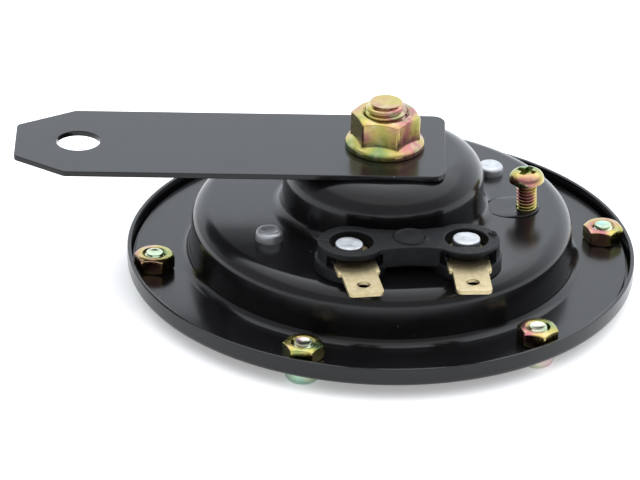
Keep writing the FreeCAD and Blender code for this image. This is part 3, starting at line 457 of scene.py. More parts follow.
def flat_plate(name, loops, bottom, thickness, edge, x=0.0, y=0.0, turn=0.0):
    """Plate with eased edges from closed (x, y) loops: the outline first, then its holes."""
    curve = bpy.data.curves.new(name, "CURVE")
    curve.dimensions = "2D"
    curve.fill_mode = "BOTH"
    curve.extrude = (thickness / 2 - edge) * MM
    curve.bevel_depth = edge * MM
    curve.bevel_resolution = 2
    curve.offset = -edge * MM
    for index, loop in enumerate(loops):
        area = sum(a[0] * b[1] - b[0] * a[1] for a, b in zip(loop, loop[1:] + loop[:1]))
        ordered = loop if (area > 0) == (index == 0) else loop[::-1]
        spline = curve.splines.new("POLY")
        spline.points.add(len(ordered) - 1)
        for point, (px, py) in zip(spline.points, ordered):
            point.co = (px * MM, py * MM, 0.0, 1.0)
        spline.use_cyclic_u = True
    shape = linked(name, curve)
    depsgraph = bpy.context.evaluated_depsgraph_get()
    mesh = bpy.data.meshes.new_from_object(shape.evaluated_get(depsgraph))
    bpy.data.objects.remove(shape)
    spin = Matrix.Rotation(math.radians(turn), 4, "Z")
    mesh.transform(Matrix.Translation(at(x, y, bottom + thickness / 2)) @ spin)
    return finish_mesh(name, mesh, 35)


def rounded_loop(points, radii, steps=6):
    """Closed loop of (x, y) points with its corners rounded."""
    loop = []
    count = len(points)
    for i in range(count):
        trio = [points[i - 1], points[i], points[(i + 1) % count]]
        loop += rounded(trio, [0.0, radii[i], 0.0], steps)[1:-1]
    return loop


def prism(name, loop, bottom, top):
    """Upright bar of a closed (x, y) loop."""
    return skin(name, [[(x, y, z) for x, y in loop] for z in (bottom, top)])


def spun(points, x, y, turn):
    """Points of a plan turned by an angle in degrees and moved."""
    c = math.cos(math.radians(turn))
    s = math.sin(math.radians(turn))
    return [(x + px * c - py * s, y + px * s + py * c) for px, py in points]


def hexagon(flats, side_angles=(0, 2, 4, 8, 14, 22, 30, 38, 46, 52, 56, 58)):
    """Angle and reach of points round a hexagon whose corners are eased a little."""
    corner = NUT_CORNER * flats / math.sqrt(3)
    points = []
    for side in range(6):
        for turn in side_angles:
            reach = flats / 2 / math.cos(math.radians(turn - 30))
            points.append((math.radians(60 * side + turn), min(reach, corner)))
    return points


def hex_nut(name, flats, bottom, height, bore, sink, edge, skirt=()):
    """Hexagon nut on the horn's axis: chamfered, eased, its bore countersunk, and perhaps with a skirt."""
    top = bottom + height
    land = NUT_LAND * flats / 2
    slope = math.tan(math.radians(NUT_CHAMFER_ANGLE))
    outline = hexagon(flats)

    def ring(place):
        rows = [(angle, *place(reach)) for angle, reach in outline]
        return [(r * math.cos(angle), r * math.sin(angle), z) for angle, r, z in rows]

    def even(r, z):
        return ring(lambda reach: (r, z))

    def edged(inset, drop, low=False):
        side = -1 if low else 1
        start = bottom if low else top

        def place(reach):
            fall = max(reach - inset - land, 0) * slope + drop
            return (reach - inset, start - side * fall)

        return ring(place)

    mouth = bore + sink
    ease = 0.3 * edge
    rings = [even(bore, bottom), even(bore, top - sink), even(mouth, top), even(land - edge, top)]
    rings += [edged(edge, 0), edged(ease, ease), edged(0, edge)]
    if skirt:
        (inner, high), (outer, low) = skirt
        fall = (high - low) / (outer - inner)
        rise = 0.15
        fillet = 0.12
        bend = 0.45
        droop = 0.05
        lip = 0.3
        rings.append(ring(lambda reach: (reach, high - (reach - inner) * fall + rise)))
        rings.append(ring(lambda reach: (reach + fillet, high - (reach + fillet - inner) * fall)))
        rings += [even(outer - bend, low + bend * fall), even(outer - fillet, low - droop)]
        rings += [even(outer, low - lip), even(outer, bottom + edge), even(outer - edge, bottom)]
    else:
        rings += [edged(0, edge, True), edged(ease, ease, True), edged(edge, 0, True)]
        rings.append(even(land - edge, bottom))
    return skin(name, rings, closed=True, smooth_angle=40)


def cross_cutter(arm, slot, depth, top, turn, x=0.0, downwards=False):
    """Cross-shaped tool of a screw driver's recess, tapering inwards from the head's top."""
    side = -1 if downwards else 1
    levels = [(RECESS_START, arm / 2), (0.0, arm / 2), (-0.75 * depth, 0.4 * arm), (-depth, slot * 0.75)]
    rings = []
    for level, reach in levels:
        half = slot / 2 * (1 if level > -0.5 * depth else RECESS_TAPER)
        arms = [(reach, -half), (reach, half), (half * RECESS_CORNER, half * RECESS_CORNER)]
        loop = [point for k in range(4) for point in spun(arms, 0, 0, 90 * k)]
        rings.append([(px, py, top + side * level) for px, py in spun(loop, x, 0, turn)])
    return skin("recess", rings)


# Materials; a noise texture keeps to the middle of its range, between the two values named here
NOISE_LOW = 0.3
NOISE_HIGH = 0.7


def new_material(name):
    """Material with its node tree and its shader."""
    material = bpy.data.materials.new(name)
    material.use_nodes = True
    tree = material.node_tree
    shader = tree.nodes["Principled BSDF"]
    return material, tree, shader


def noise(tree, scale, detail=4.0, roughness=0.55, stretch=(1, 1, 1), shift=(0, 0, 0)):
    """Noise in object space, its scale in cells per metre."""
    place = tree.nodes.new("ShaderNodeTexCoord")
    mapping = tree.nodes.new("ShaderNodeMapping")
    mapping.inputs["Scale"].default_value = stretch
    mapping.inputs["Location"].default_value = shift
    texture = tree.nodes.new("ShaderNodeTexNoise")
    texture.inputs["Scale"].default_value = scale
    texture.inputs["Detail"].default_value = detail
    texture.inputs["Roughness"].default_value = roughness
    tree.links.new(place.outputs["Object"], mapping.inputs["Vector"])
    tree.links.new(mapping.outputs["Vector"], texture.inputs["Vector"])
    return texture.outputs["Fac"]


def ramp(tree, factor, stops):
    """Colour ramp over a factor."""
    node = tree.nodes.new("ShaderNodeValToRGB")
    elements = node.color_ramp.elements
    while len(elements) < len(stops):
        elements.new(0.5)
    for element, (position, colour) in zip(elements, stops):
        element.position = position
        element.color = (*colour, 1.0)
    tree.links.new(factor, node.inputs["Fac"])
    return node.outputs["Color"]


def remap(tree, factor, low, high, start=0.0, stop=1.0):
    """Factor carried from one range to another."""
    node = tree.nodes.new("ShaderNodeMapRange")
    node.inputs["From Min"].default_value = start
    node.inputs["From Max"].default_value = stop
    node.inputs["To Min"].default_value = low
    node.inputs["To Max"].default_value = high
    tree.links.new(factor, node.inputs["Value"])
    return node.outputs["Result"]


def toned(tree, shader, factor, dark, light):
    """Base colour that drifts with a noise between two tones."""
    colour = ramp(tree, factor, [(NOISE_LOW, dark), (NOISE_HIGH, light)])
    tree.links.new(colour, shader.inputs["Base Color"])


def roughened(tree, shader, scale, low, high):
    """Roughness that drifts with a noise between two values."""
    value = remap(tree, noise(tree, scale), low, high, NOISE_LOW, NOISE_HIGH)
    tree.links.new(value, shader.inputs["Roughness"])


def mixed(tree, factor, first, second):
    """Mix of two colours."""
    node = tree.nodes.new("ShaderNodeMix")
    node.data_type = "RGBA"
    tree.links.new(factor, node.inputs["Factor"])
    for socket, value in ((node.inputs[6], first), (node.inputs[7], second)):
        if isinstance(value, tuple):
            socket.default_value = (*value, 1.0)
        else:
            tree.links.new(value, socket)
    return node.outputs[2]


def bump(tree, shader, height, distance, strength=1.0):
    """Bump of a given height in millimetres on the shader."""
    node = tree.nodes.new("ShaderNodeBump")
    node.inputs["Distance"].default_value = distance * MM
    node.inputs["Strength"].default_value = strength
    tree.links.new(height, node.inputs["Height"])
    tree.links.new(node.outputs["Normal"], shader.inputs["Normal"])


def specks(tree, cell, size, share):
    """Sparse round specks: 1 on a speck and 0 elsewhere. Cell and size are in millimetres."""
    place = tree.nodes.new("ShaderNodeTexCoord")
    cells = tree.nodes.new("ShaderNodeTexVoronoi")
    cells.inputs["Scale"].default_value = 1 / (cell * MM)
    tree.links.new(place.outputs["Object"], cells.inputs["Vector"])
    near = tree.nodes.new("ShaderNodeMath")
    near.operation = "LESS_THAN"
    near.inputs[1].default_value = size / cell
    tree.links.new(cells.outputs["Distance"], near.inputs[0])
    split = tree.nodes.new("ShaderNodeSeparateColor")
    tree.links.new(cells.outputs["Color"], split.inputs["Color"])
    chosen = tree.nodes.new("ShaderNodeMath")
    chosen.operation = "LESS_THAN"
    chosen.inputs[1].default_value = share
    tree.links.new(split.outputs["Red"], chosen.inputs[0])
    both = tree.nodes.new("ShaderNodeMath")
    both.operation = "MULTIPLY"
    tree.links.new(near.outputs["Value"], both.inputs[0])
    tree.links.new(chosen.outputs["Value"], both.inputs[1])
    return both.outputs["Value"]


def enamel(name="black_enamel"):
    """Glossy black stove enamel with a faint orange peel and a few specks of dust."""
    material, tree, shader = new_material(name)
    stops = [(NOISE_LOW, (0.0036, 0.0036, 0.0040)), (NOISE_HIGH, (0.0056, 0.0056, 0.0062))]
    tone = ramp(tree, noise(tree, 60.0), stops)
    dust = specks(tree, cell=3.2, size=0.10, share=0.3)
    tree.links.new(mixed(tree, dust, tone, (0.22, 0.22, 0.22)), shader.inputs["Base Color"])
    roughened(tree, shader, 180.0, 0.16, 0.22)
    shader.inputs["Specular IOR Level"].default_value = 0.33
    bump(tree, shader, noise(tree, 420.0, detail=2.0), 0.006, 0.35)
    return material


def zinc(name, stops, shift, low=0.16, high=0.3, scale=150.0):
    """Passivated zinc plating, its tint drifting over the surface and paling in small patches."""
    material, tree, shader = new_material(name)
    tint = ramp(tree, noise(tree, scale, detail=2.0, roughness=0.4, shift=shift), stops)
    pale = remap(tree, noise(tree, 420.0, detail=3.0), 0.0, 0.5, 0.5, 0.75)
    tree.links.new(mixed(tree, pale, tint, (0.52, 0.48, 0.32)), shader.inputs["Base Color"])
    roughened(tree, shader, 900.0, low, high)
    shader.inputs["Metallic"].default_value = 1.0
    bump(tree, shader, noise(tree, 1300.0, detail=3.0), 0.01, 0.5)
    return material


def yellow_zinc():
    """Yellow zinc with pink and green bands."""
    stops = [
        (0.29, (0.15, 0.24, 0.11)),
        (0.38, (0.29, 0.29, 0.08)),
        (0.48, (0.41, 0.33, 0.10)),
        (0.57, (0.40, 0.25, 0.13)),
        (0.64, (0.33, 0.12, 0.13)),
        (0.72, (0.25, 0.30, 0.13)),
    ]
    return zinc("yellow_zinc", stops, (0.013, 0.006, 0.0))


def green_zinc():
    """Pale zinc with green, blue and pink bands."""
    stops = [
        (0.32, (0.20, 0.40, 0.36)),
        (0.44, (0.42, 0.52, 0.34)),
        (0.56, (0.56, 0.56, 0.46)),
        (0.68, (0.50, 0.30, 0.34)),
    ]
    return zinc("green_zinc", stops, (0.0, 0.0, 0.0))


def brass():
    """Pale stamped brass with a fine grain."""
    material, tree, shader = new_material("terminal_brass")
    toned(tree, shader, noise(tree, 700.0, detail=6.0), (0.41, 0.335, 0.185), (0.53, 0.445, 0.275))
    roughened(tree, shader, 1800.0, 0.36, 0.5)
    shader.inputs["Metallic"].default_value = 1.0
    bump(tree, shader, noise(tree, 2600.0, detail=4.0), 0.015, 0.6)
    return material


def aluminium():
    """Bright upset aluminium with tool marks."""
    material, tree, shader = new_material("rivet_aluminium")
    toned(tree, shader, noise(tree, 500.0, detail=6.0), (0.38, 0.39, 0.405), (0.52, 0.53, 0.545))
    roughened(tree, shader, 800.0, 0.42, 0.58)
    shader.inputs["Metallic"].default_value = 1.0
    bump(tree, shader, noise(tree, 900.0, detail=5.0), 0.03, 0.6)
    return material


def plastic(name, dark, light, roughness=0.5, gloss=0.5):
    """Moulded plastic or board with a fine grain."""
    material, tree, shader = new_material(name)
    toned(tree, shader, noise(tree, 350.0, detail=6.0), dark, light)
    roughened(tree, shader, 900.0, roughness - 0.08, roughness + 0.08)
    shader.inputs["Specular IOR Level"].default_value = gloss
    bump(tree, shader, noise(tree, 1400.0, detail=4.0), 0.015, 0.5)
    return material


def bare_metal(name, dark, light, roughness=0.35, scale=400.0):
    """Plain metal with drawn or turned marks."""
    material, tree, shader = new_material(name)
    toned(tree, shader, noise(tree, scale, stretch=(1, 1, 6)), dark, light)
    roughened(tree, shader, 900.0, roughness - 0.08, roughness + 0.08)
    shader.inputs["Metallic"].default_value = 1.0
    bump(tree, shader, noise(tree, 1600.0), 0.01, 0.5)
    return material


BLOCK_DARK = (0.0045, 0.0048, 0.0056)
BLOCK_LIGHT = (0.0072, 0.0075, 0.0087)
MATERIALS = {
    "black_enamel": enamel(),
    "tone_steel": enamel("tone_steel"),
    "yellow_zinc": yellow_zinc(),
    "green_zinc": green_zinc(),
    "terminal_brass": brass(),
    "rivet_aluminium": aluminium(),
    "block_plastic": plastic("block_plastic", BLOCK_DARK, BLOCK_LIGHT, 0.45, 0.13),
    "bobbin_plastic": plastic("bobbin_plastic", (0.02, 0.02, 0.02), (0.05, 0.05, 0.05)),
    "insulator_board": plastic("insulator_board", (0.12, 0.06, 0.03), (0.2, 0.1, 0.05), 0.6),
    "gasket_board": plastic("gasket_board", (0.2, 0.16, 0.12), (0.32, 0.27, 0.2), 0.8),
    "spring_steel": bare_metal("spring_steel", (0.36, 0.36, 0.37), (0.5, 0.5, 0.5)),
    "plain_steel": bare_metal("plain_steel", (0.4, 0.4, 0.4), (0.56, 0.56, 0.55)),
    "copper_wire": bare_metal("copper_wire", (0.45, 0.16, 0.07), (0.7, 0.3, 0.14), 0.3, 1500.0),
    "contact_metal": bare_metal("contact_metal", (0.5, 0.5, 0.5), (0.7, 0.7, 0.7)),
}


def dress(piece, slot, body, *nodes):
    """Give a piece its material and its body, and hide the solids that it stands for."""
    piece.data.materials.clear()
    piece.data.materials.append(MATERIALS[slot])
    even = piece.modifiers.new("even_normals", "WEIGHTED_NORMAL")
    even.keep_sharp = True
    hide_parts(*nodes)
    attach(piece, body)
    return piece


def dress_solids():
    """Procedural material on every solid, by the record's slots."""
    for subpart in frame["record"]["subparts"]:
        solid = frame["nodes"][subpart["node"]]
        solid.data.materials.clear()
        solid.data.materials.append(MATERIALS[subpart["material_slot"]])


# Camera, at the place that the photograph's perspective gives
CAMERA_FOCAL_PIXELS = 3823.6
CAMERA_DISTANCE = 755.48
CAMERA_ELEVATION = 27.57
CAMERA_AZIMUTH = -1.91
CAMERA_ROLL = 1.70
CAMERA_RIGHT = 11.975
CAMERA_UP = -2.531
IMAGE_WIDTH = 640
SENSOR_WIDTH = 36.0


def add_camera():
    """Camera whose view matches the photograph's."""
    elevation = math.radians(CAMERA_ELEVATION)
    azimuth = math.radians(CAMERA_AZIMUTH)
    roll = math.radians(CAMERA_ROLL)
    back = Vector(
        (
            math.sin(azimuth) * math.cos(elevation),
            -math.cos(azimuth) * math.cos(elevation),
            math.sin(elevation),
        )
    )
    level_right = Vector((math.cos(azimuth), math.sin(azimuth), 0))
    level_up = back.cross(level_right)
    right = level_right * math.cos(roll) + level_up * math.sin(roll)
    up = level_up * math.cos(roll) - level_right * math.sin(roll)
    eye = back * CAMERA_DISTANCE - right * CAMERA_RIGHT - up * CAMERA_UP
    data = bpy.data.cameras.new("camera")
    data.sensor_width = SENSOR_WIDTH
    data.lens = SENSOR_WIDTH * CAMERA_FOCAL_PIXELS / IMAGE_WIDTH
    data.clip_start = 0.01
    data.clip_end = 20
    camera = linked("camera", data)
    turn = Matrix((right, up, back)).transposed().to_4x4()
    camera.matrix_world = Matrix.Translation(at(*eye)) @ turn
    bpy.context.scene.camera = camera


# Light: the direction in which the surround is brightest, and the cosine from which it is fully bright
BRIGHT_SIDE = (0.30, 0.86, 0.41)
BRIGHT_COLOUR = (1.72, 1.82, 1.95)
BRIGHT_FULL = 0.75
DARK_COLOUR = (0.62, 0.63, 0.66)
FLOOR_HALF = 3000.0


def add_surround():
    """Surround that is bright behind, above and to the right of the horn, and dark in front of it."""
    world = bpy.data.worlds.new("surround")
    world.use_nodes = True
    tree = world.node_tree
    direction = tree.nodes.new("ShaderNodeTexCoord")
    towards = tree.nodes.new("ShaderNodeVectorMath")
    towards.operation = "DOT_PRODUCT"
    towards.inputs[1].default_value = BRIGHT_SIDE
    tree.links.new(direction.outputs["Generated"], towards.inputs[0])
    share = remap(tree, towards.outputs["Value"], 0.0, 1.0, 0.0, BRIGHT_FULL)
    colour = mixed(tree, share, DARK_COLOUR, BRIGHT_COLOUR)
    tree.links.new(colour, tree.nodes["Background"].inputs["Color"])
    bpy.context.scene.world = world


def add_light(name, place, size, power):
    """Soft area light that shines at the horn. Its place and size are in metres from the horn's axis."""
    data = bpy.data.lights.new(name, "AREA")
    data.shape = "DISK"
    data.size = size
    data.energy = power
    light = linked(name, data)
    start = ORIGIN + Vector(place)
    turn = (-Vector(place)).to_track_quat("-Z", "Y").to_matrix().to_4x4()
    light.matrix_world = Matrix.Translation(start) @ turn


def add_floor():
    """Pale floor under the screws' heads."""
    floor_z = height_of(SCREWS_LOW)
    signs = [(-1, -1), (1, -1), (1, 1), (-1, 1)]
    corners = [at(sx * FLOOR_HALF, sy * FLOOR_HALF, floor_z) for sx, sy in signs]
    mesh = bpy.data.meshes.new("floor")
    mesh.from_pydata(corners, [], [(0, 1, 2, 3)])
    floor = linked("floor", mesh)
    material, tree, shader = new_material("floor")
    tone = ramp(tree, noise(tree, 3.0), [(0.0, (0.93, 0.93, 0.93)), (1.0, (0.95, 0.95, 0.95))])
    tree.links.new(tone, shader.inputs["Base Color"])
    shader.inputs["Roughness"].default_value = 0.9
    shader.inputs["Emission Color"].default_value = (1.0, 1.0, 1.0, 1.0)
    shader.inputs["Emission Strength"].default_value = 0.3
    mesh.materials.append(material)


def add_studio():
    """Surround, soft lights and floor."""
    bpy.context.scene.view_settings.view_transform = "Standard"
    add_surround()
    add_light("top_softbox", place=(0.1, 0.0, 1.1), size=2.6, power=13.5)
    add_floor()


# Pressed shell
def shell_loop():
    """Closed line round the shell's sheet, from the stud's hole to the flange's edge."""
    line = [
        (STUD_HOLE_RADIUS, BOSS_HEIGHT),
        (BOSS_TOP_RADIUS, BOSS_HEIGHT),
        (BOSS_FOOT_RADIUS, SHOULDER_HEIGHT),
        (WALL_TOP_RADIUS, SHOULDER_HEIGHT),
        (WALL_FOOT_RADIUS, 0.0),
        (FLANGE_RADIUS, 0.0),
    ]
    radii = [0.0, BOSS_TOP_FILLET, BOSS_FOOT_FILLET, WALL_TOP_FILLET, WALL_FOOT_FILLET, 0.0]
    return sheet_loop(line, radii, SHELL_SHEET, steps=14)


def tongue_loop(radius, steps=20):
    """Oval outline of the tongue, cut off at its bend."""
    cut = math.acos((TONGUE_START - TONGUE_BEND) / radius)
    spans = [
        (TONGUE_START, math.pi + cut, 1.5 * math.pi),
        (TONGUE_END, 1.5 * math.pi, 2.5 * math.pi),
        (TONGUE_START, 2.5 * math.pi, 3 * math.pi - cut),
    ]
    loop = []
    for x, first, last in spans:
        angles = [first + (last - first) * i / steps for i in range(steps + 1)]
        loop += [(x + radius * math.cos(a), radius * math.sin(a)) for a in angles]
    return loop


def bend_matrix():
    """Turn that bends the tongue up, and the adjusting screw with it."""
    pivot = at(TONGUE_BEND, 0, SHOULDER_HEIGHT - SHELL_SHEET)
    turn = Matrix.Rotation(math.radians(-TONGUE_RISE_ANGLE), 4, "Y")
    return Matrix.Translation(pivot) @ turn @ Matrix.Translation(-pivot)


def build_shell():
    """Housing with its lanced tongue."""
    underside = SHOULDER_HEIGHT - SHELL_SHEET
    shell = turned("housing_shell", shell_loop(), LARGE_SEGMENTS, closed=True)
    slit = prism("slit", tongue_loop(TONGUE_RADIUS + TONGUE_SLIT), underside - 1, SHOULDER_HEIGHT + 1)
    shell = carved(shell, [slit])
    bore = ADJUSTER_RADIUS + THREAD_PLAY
    hole = flat_circle(bore, 48, ADJUSTER_X)
    tongue = flat_plate("tongue", [tongue_loop(TONGUE_RADIUS), hole], underside, SHELL_SHEET, edge=0.2)
    foot = underside - COLLAR_DEPTH
    collar_line = [(bore, foot), (COLLAR_RADIUS, foot), (COLLAR_RADIUS, underside), (bore, underside)]
    collar = turned("collar", collar_line, 48, ADJUSTER_X, closed=True)
    tongue = joined("tongue", [tongue, collar])
    tongue.data.transform(bend_matrix())
    dress(joined("housing_shell", [shell, tongue]), "black_enamel", "shell", "housing")


def build_ring():
    """Front ring with its rim turned up."""
    inside = RING_RADIUS - RING_SHEET
    line = [(WALL_FOOT_RADIUS, RING_TOP), (inside, RING_TOP), (inside, RING_RIM_TOP)]
    loop = sheet_loop(line, [0.0, RING_BEND, 0.0], RING_SHEET)
    ring = softened(turned("front_ring_rim", loop, LARGE_SEGMENTS, closed=True), width=0.22)
    dress(ring, "black_enamel", "shell", "front_ring")


def build_bracket():
    """Flat bracket with its tapered end, its sheared end and two holes."""
    reach = ORIGIN.x / MM
    half = (BRACKET_HIGH.y - BRACKET_LOW.y) / MM / 2
    tail = BRACKET_HIGH.x / MM - reach
    end = BRACKET_LOW.x / MM - reach
    back_shift, front_shift = BRACKET_TAPER_SHIFTS
    outline = [
        (tail - 0.4 * BRACKET_SLANT, -half),
        (tail + 0.6 * BRACKET_SLANT, half),
        (end + BRACKET_TAPER + back_shift, half),
        (end, BRACKET_END_HALF),
        (end, -BRACKET_END_HALF),
        (end + BRACKET_TAPER + front_shift, -half),
    ]
    loop = rounded_loop(outline, [BRACKET_TAIL_CORNER] * 2 + [BRACKET_TAPER_CORNER] * 4)
    holes = [flat_circle(BRACKET_HOLE_RADIUS, 72, -reach), flat_circle(STUD_HOLE_RADIUS, 72)]
    plate = flat_plate("bracket_plate", [loop] + holes, BOSS_HEIGHT, BRACKET_SHEET, edge=0.15)
    dress(plate, "black_enamel", "shell", "mounting_bracket")


# Threaded pieces and nuts
def build_stud():
    """Magnet core with its threaded stud."""
    low = height_of(CORE_LOW)
    top = height_of(CORE_HIGH)
    yoke = BOSS_HEIGHT - SHELL_SHEET - YOKE_SHEET
    below = [(0, low), (CORE_RADIUS, low), (CORE_RADIUS, yoke)]
    below += [(STUD_RADIUS, yoke), (STUD_RADIUS, BRACKET_TOP)]
    above = [(radius, top) for radius in STUD_TIP_RADII] + [(0, top)]
    stud = threaded("core_and_stud", below, top, STUD_PITCH, STUD_THREAD_DEPTH, above, 72)
    dress(stud, "yellow_zinc", "shell", "pole_core")


def build_bracket_nut():
    """Hexagon nut with a conical flange."""
    name = "bracket_hexagon_nut"
    flats = STUD_NUT_FLATS
    bore = STUD_RADIUS + THREAD_PLAY
    high, low = [BRACKET_TOP + height for height in SKIRT_HEIGHTS]
    skirt = [(flats / 2, high), (SKIRT_RADIUS, low)]
    nut = hex_nut(name, flats, BRACKET_TOP, STUD_NUT_HEIGHT, bore, sink=0.6, edge=0.15, skirt=skirt)
    dress(repeated(name, nut, [(0, 0, STUD_NUT_TURN)]), "yellow_zinc", "shell", "bracket_nut")


def screw_places():
    """Place and angle of each clamping screw."""
    places = []
    for i in range(SCREW_COUNT):
        angle = SCREW_START_ANGLE + i * 360.0 / SCREW_COUNT
        x = SCREW_CIRCLE_RADIUS * math.cos(math.radians(angle))
        y = SCREW_CIRCLE_RADIUS * math.sin(math.radians(angle))
        places.append((x, y, angle))
    return places


def build_flange_nuts():
    """Six hexagon nuts on the flange."""
    height = (NUTS_HIGH.z - NUTS_LOW.z) / MM
    bore = SCREW_RADIUS + THREAD_PLAY
    nut = hex_nut("flange_hexagon_nuts", NUT_FLATS, 0.0, height, bore, sink=0.35, edge=0.1)
    places = [(x, y, turn) for (x, y, _), turn in zip(screw_places(), NUT_TURNS)]
    dress(repeated("flange_hexagon_nuts", nut, places), "yellow_zinc", "shell", "flange_nuts")


def build_flange_screws():
    """Six clamping screws with their heads under the ring."""
    seat = RING_TOP - RING_SHEET
    low = height_of(SCREWS_LOW)
    top = height_of(SCREWS_HIGH)
    head = [(0, low), (SCREW_HEAD_RADIUS, low), (SCREW_HEAD_RADIUS, seat)]
    below = rounded(head, [0.0, SCREW_HEAD_ROUND, 0.0]) + [(SCREW_RADIUS, seat)]
    above = [(radius, top - depth) for radius, depth in SCREW_TIP]
    screw = threaded("clamping_screws", below, top, SMALL_PITCH, SCREW_THREAD_DEPTH, above, 40)
    recess = cross_cutter(arm=4.6, slot=0.9, depth=1.3, top=low, turn=0.0, downwards=True)
    screw = carved(screw, [recess])
    places = [(x, y, angle * 3) for x, y, angle in screw_places()]
    dress(repeated("clamping_screws", screw, places), "green_zinc", "shell", "flange_screws")


def build_adjusting_screw():
    """Round-headed screw in the tongue, with its cross recess."""
    seat = ADJUSTER_SEAT
    head_top = seat + ADJUSTER_HEAD_HEIGHT
    bent_tip = height_of(ADJUSTER_LOW)
    lift = (ADJUSTER_X - TONGUE_BEND) * math.sin(math.radians(TONGUE_RISE_ANGLE))
    tip = bent_tip - lift + 0.1
    neck = seat - ADJUSTER_NECK
    chamfer = 0.5
    below = [(0, tip), (ADJUSTER_RADIUS - chamfer, tip), (ADJUSTER_RADIUS, tip + chamfer)]
    head = [(ADJUSTER_HEAD_RADIUS, seat), (ADJUSTER_HEAD_RADIUS, head_top), (0, head_top)]
    above = [(ADJUSTER_RADIUS, neck), (ADJUSTER_RADIUS, seat)]
    above += rounded(head, [0.0, ADJUSTER_HEAD_ROUND, 0.0], steps=10)
    screw = threaded("adjuster_with_thread", below, neck, SMALL_PITCH, ADJUSTER_THREAD_DEPTH, above)
    move = Matrix.Translation(Vector((ADJUSTER_X, 0, 0)) * MM)
    screw.data.transform(move)
    turn = ADJUSTER_RECESS_TURN
    recess = cross_cutter(arm=3.9, slot=1.15, depth=1.3, top=head_top, turn=turn, x=ADJUSTER_X)
    screw = carved(screw, [recess])
    screw.data.transform(bend_matrix())
    dress(screw, "yellow_zinc", "adjuster", "adjusting_screw")


# Rivets, terminal block and blades
def rivet(shank, seat, height, grip, place, dimple, edge=0.8):
    """Rivet with an upset head whose top has a shallow dimple, and its tail under the grip."""
    top = seat + height
    tail = seat - grip
    end = tail - RIVET_TAIL_HEIGHT
    inner, outer = RIVET_DIMPLE_RADII
    line = [(0, top - dimple), (inner, top - dimple), (outer, top), (RIVET_HEAD_RADIUS, top)]
    line += [(RIVET_HEAD_RADIUS, seat), (shank, seat), (shank, tail)]
    line += [(RIVET_TAIL_RADIUS, tail), (RIVET_TAIL_RADIUS, end), (0, end)]
    radii = [0.0, 0.6, 0.5, edge, 0.0, 0.0, 0.0, 0.0, 0.45, 0.0]
    body = turned("rivet", rounded(line, radii), 72, *place, smooth_angle=50)
    return worn(body, amount=0.07, cell=1.7)


def build_rivets():
    """Frame rivets and terminal rivets."""
    frame_grip = SHELL_SHEET + YOKE_SHEET
    pieces = []
    for place, height, dimple in zip(FRAME_RIVET_PLACES, FRAME_RIVET_HEADS, FRAME_RIVET_DIMPLES):
        body = rivet(FRAME_RIVET_SHANK, SHOULDER_HEIGHT, height, frame_grip, place, dimple)
        pieces.append(body)
    dress(joined("magnet_rivets", pieces), "rivet_aluminium", "shell", "frame_rivets")
    terminal_grip = BLADE_TOP - SHOULDER_HEIGHT + 3 * SHELL_SHEET
    shank = TERMINAL_RIVET_SHANK
    dimple = TERMINAL_RIVET_DIMPLE
    pieces = []
    for (x, y), height, shift in zip(TERMINAL_PLACES, TERMINAL_RIVET_HEADS, TERMINAL_RIVET_SHIFTS):
        body = rivet(shank, BLADE_TOP, height, terminal_grip, (x + shift, y), dimple, edge=0.3)
        pieces.append(body)
    dress(joined("well_rivets", pieces), "rivet_aluminium", "shell", "terminal_rivets")


def bridge_loop(length, steps=24):
    """Plan of the bar between the lobes, waisted on both sides."""
    loop = []
    for half, direction in ((BRIDGE_FRONT, -1), (BRIDGE_BACK, 1)):
        depth = LOBE_RADIUS - half
        scoop = (length * length / 4 + depth * depth) / (2 * depth)
        side = []
        for i in range(steps + 1):
            along = length * i / steps
            waist = scoop - math.sqrt(scoop**2 - (along - length / 2) ** 2)
            side.append((along, direction * (half + waist)))
        loop += side if direction < 0 else side[::-1]
    return loop


def well_loop(front, steps=80):
    """Plan of a well, cut off straight at a distance in front of its centre."""
    start = -math.asin(front / WELL_RADIUS)
    angles = [start + (math.pi - 2 * start) * i / steps for i in range(steps + 1)]
    return [(WELL_RADIUS * math.cos(a), WELL_RADIUS * math.sin(a)) for a in angles]


def slot_loop(steps=24):
    """Plan of the open slot under a lobe's lip, along +X from the lobe's centre."""
    inner = LOBE_RADIUS - SLOT_DEPTH
    outer = 2 * LOBE_RADIUS
    angles = [math.radians(-SLOT_SWEEP + 2 * SLOT_SWEEP * i / steps) for i in range(steps + 1)]
    loop = [(inner * math.cos(a), inner * math.sin(a)) for a in angles]
    loop += [(SLOT_CORNER, SLOT_HALF), (outer, SLOT_HALF), (outer, -SLOT_HALF), (SLOT_CORNER, -SLOT_HALF)]
    return loop


def mould_mark(name, radii, rim, bed, segments, place):
    """Round mark on the block with a raised rim, by the radii of its foot, its rim and the bed inside."""
    foot, outer, inner, bed_radius = radii
    root = BLOCK_TOP - 1
    line = [(0, root), (foot, root), (outer, BLOCK_TOP + rim), (inner, BLOCK_TOP + rim)]
    line += [(bed_radius, BLOCK_TOP + bed), (0, BLOCK_TOP + bed)]
    return turned(name, line, segments, *place)


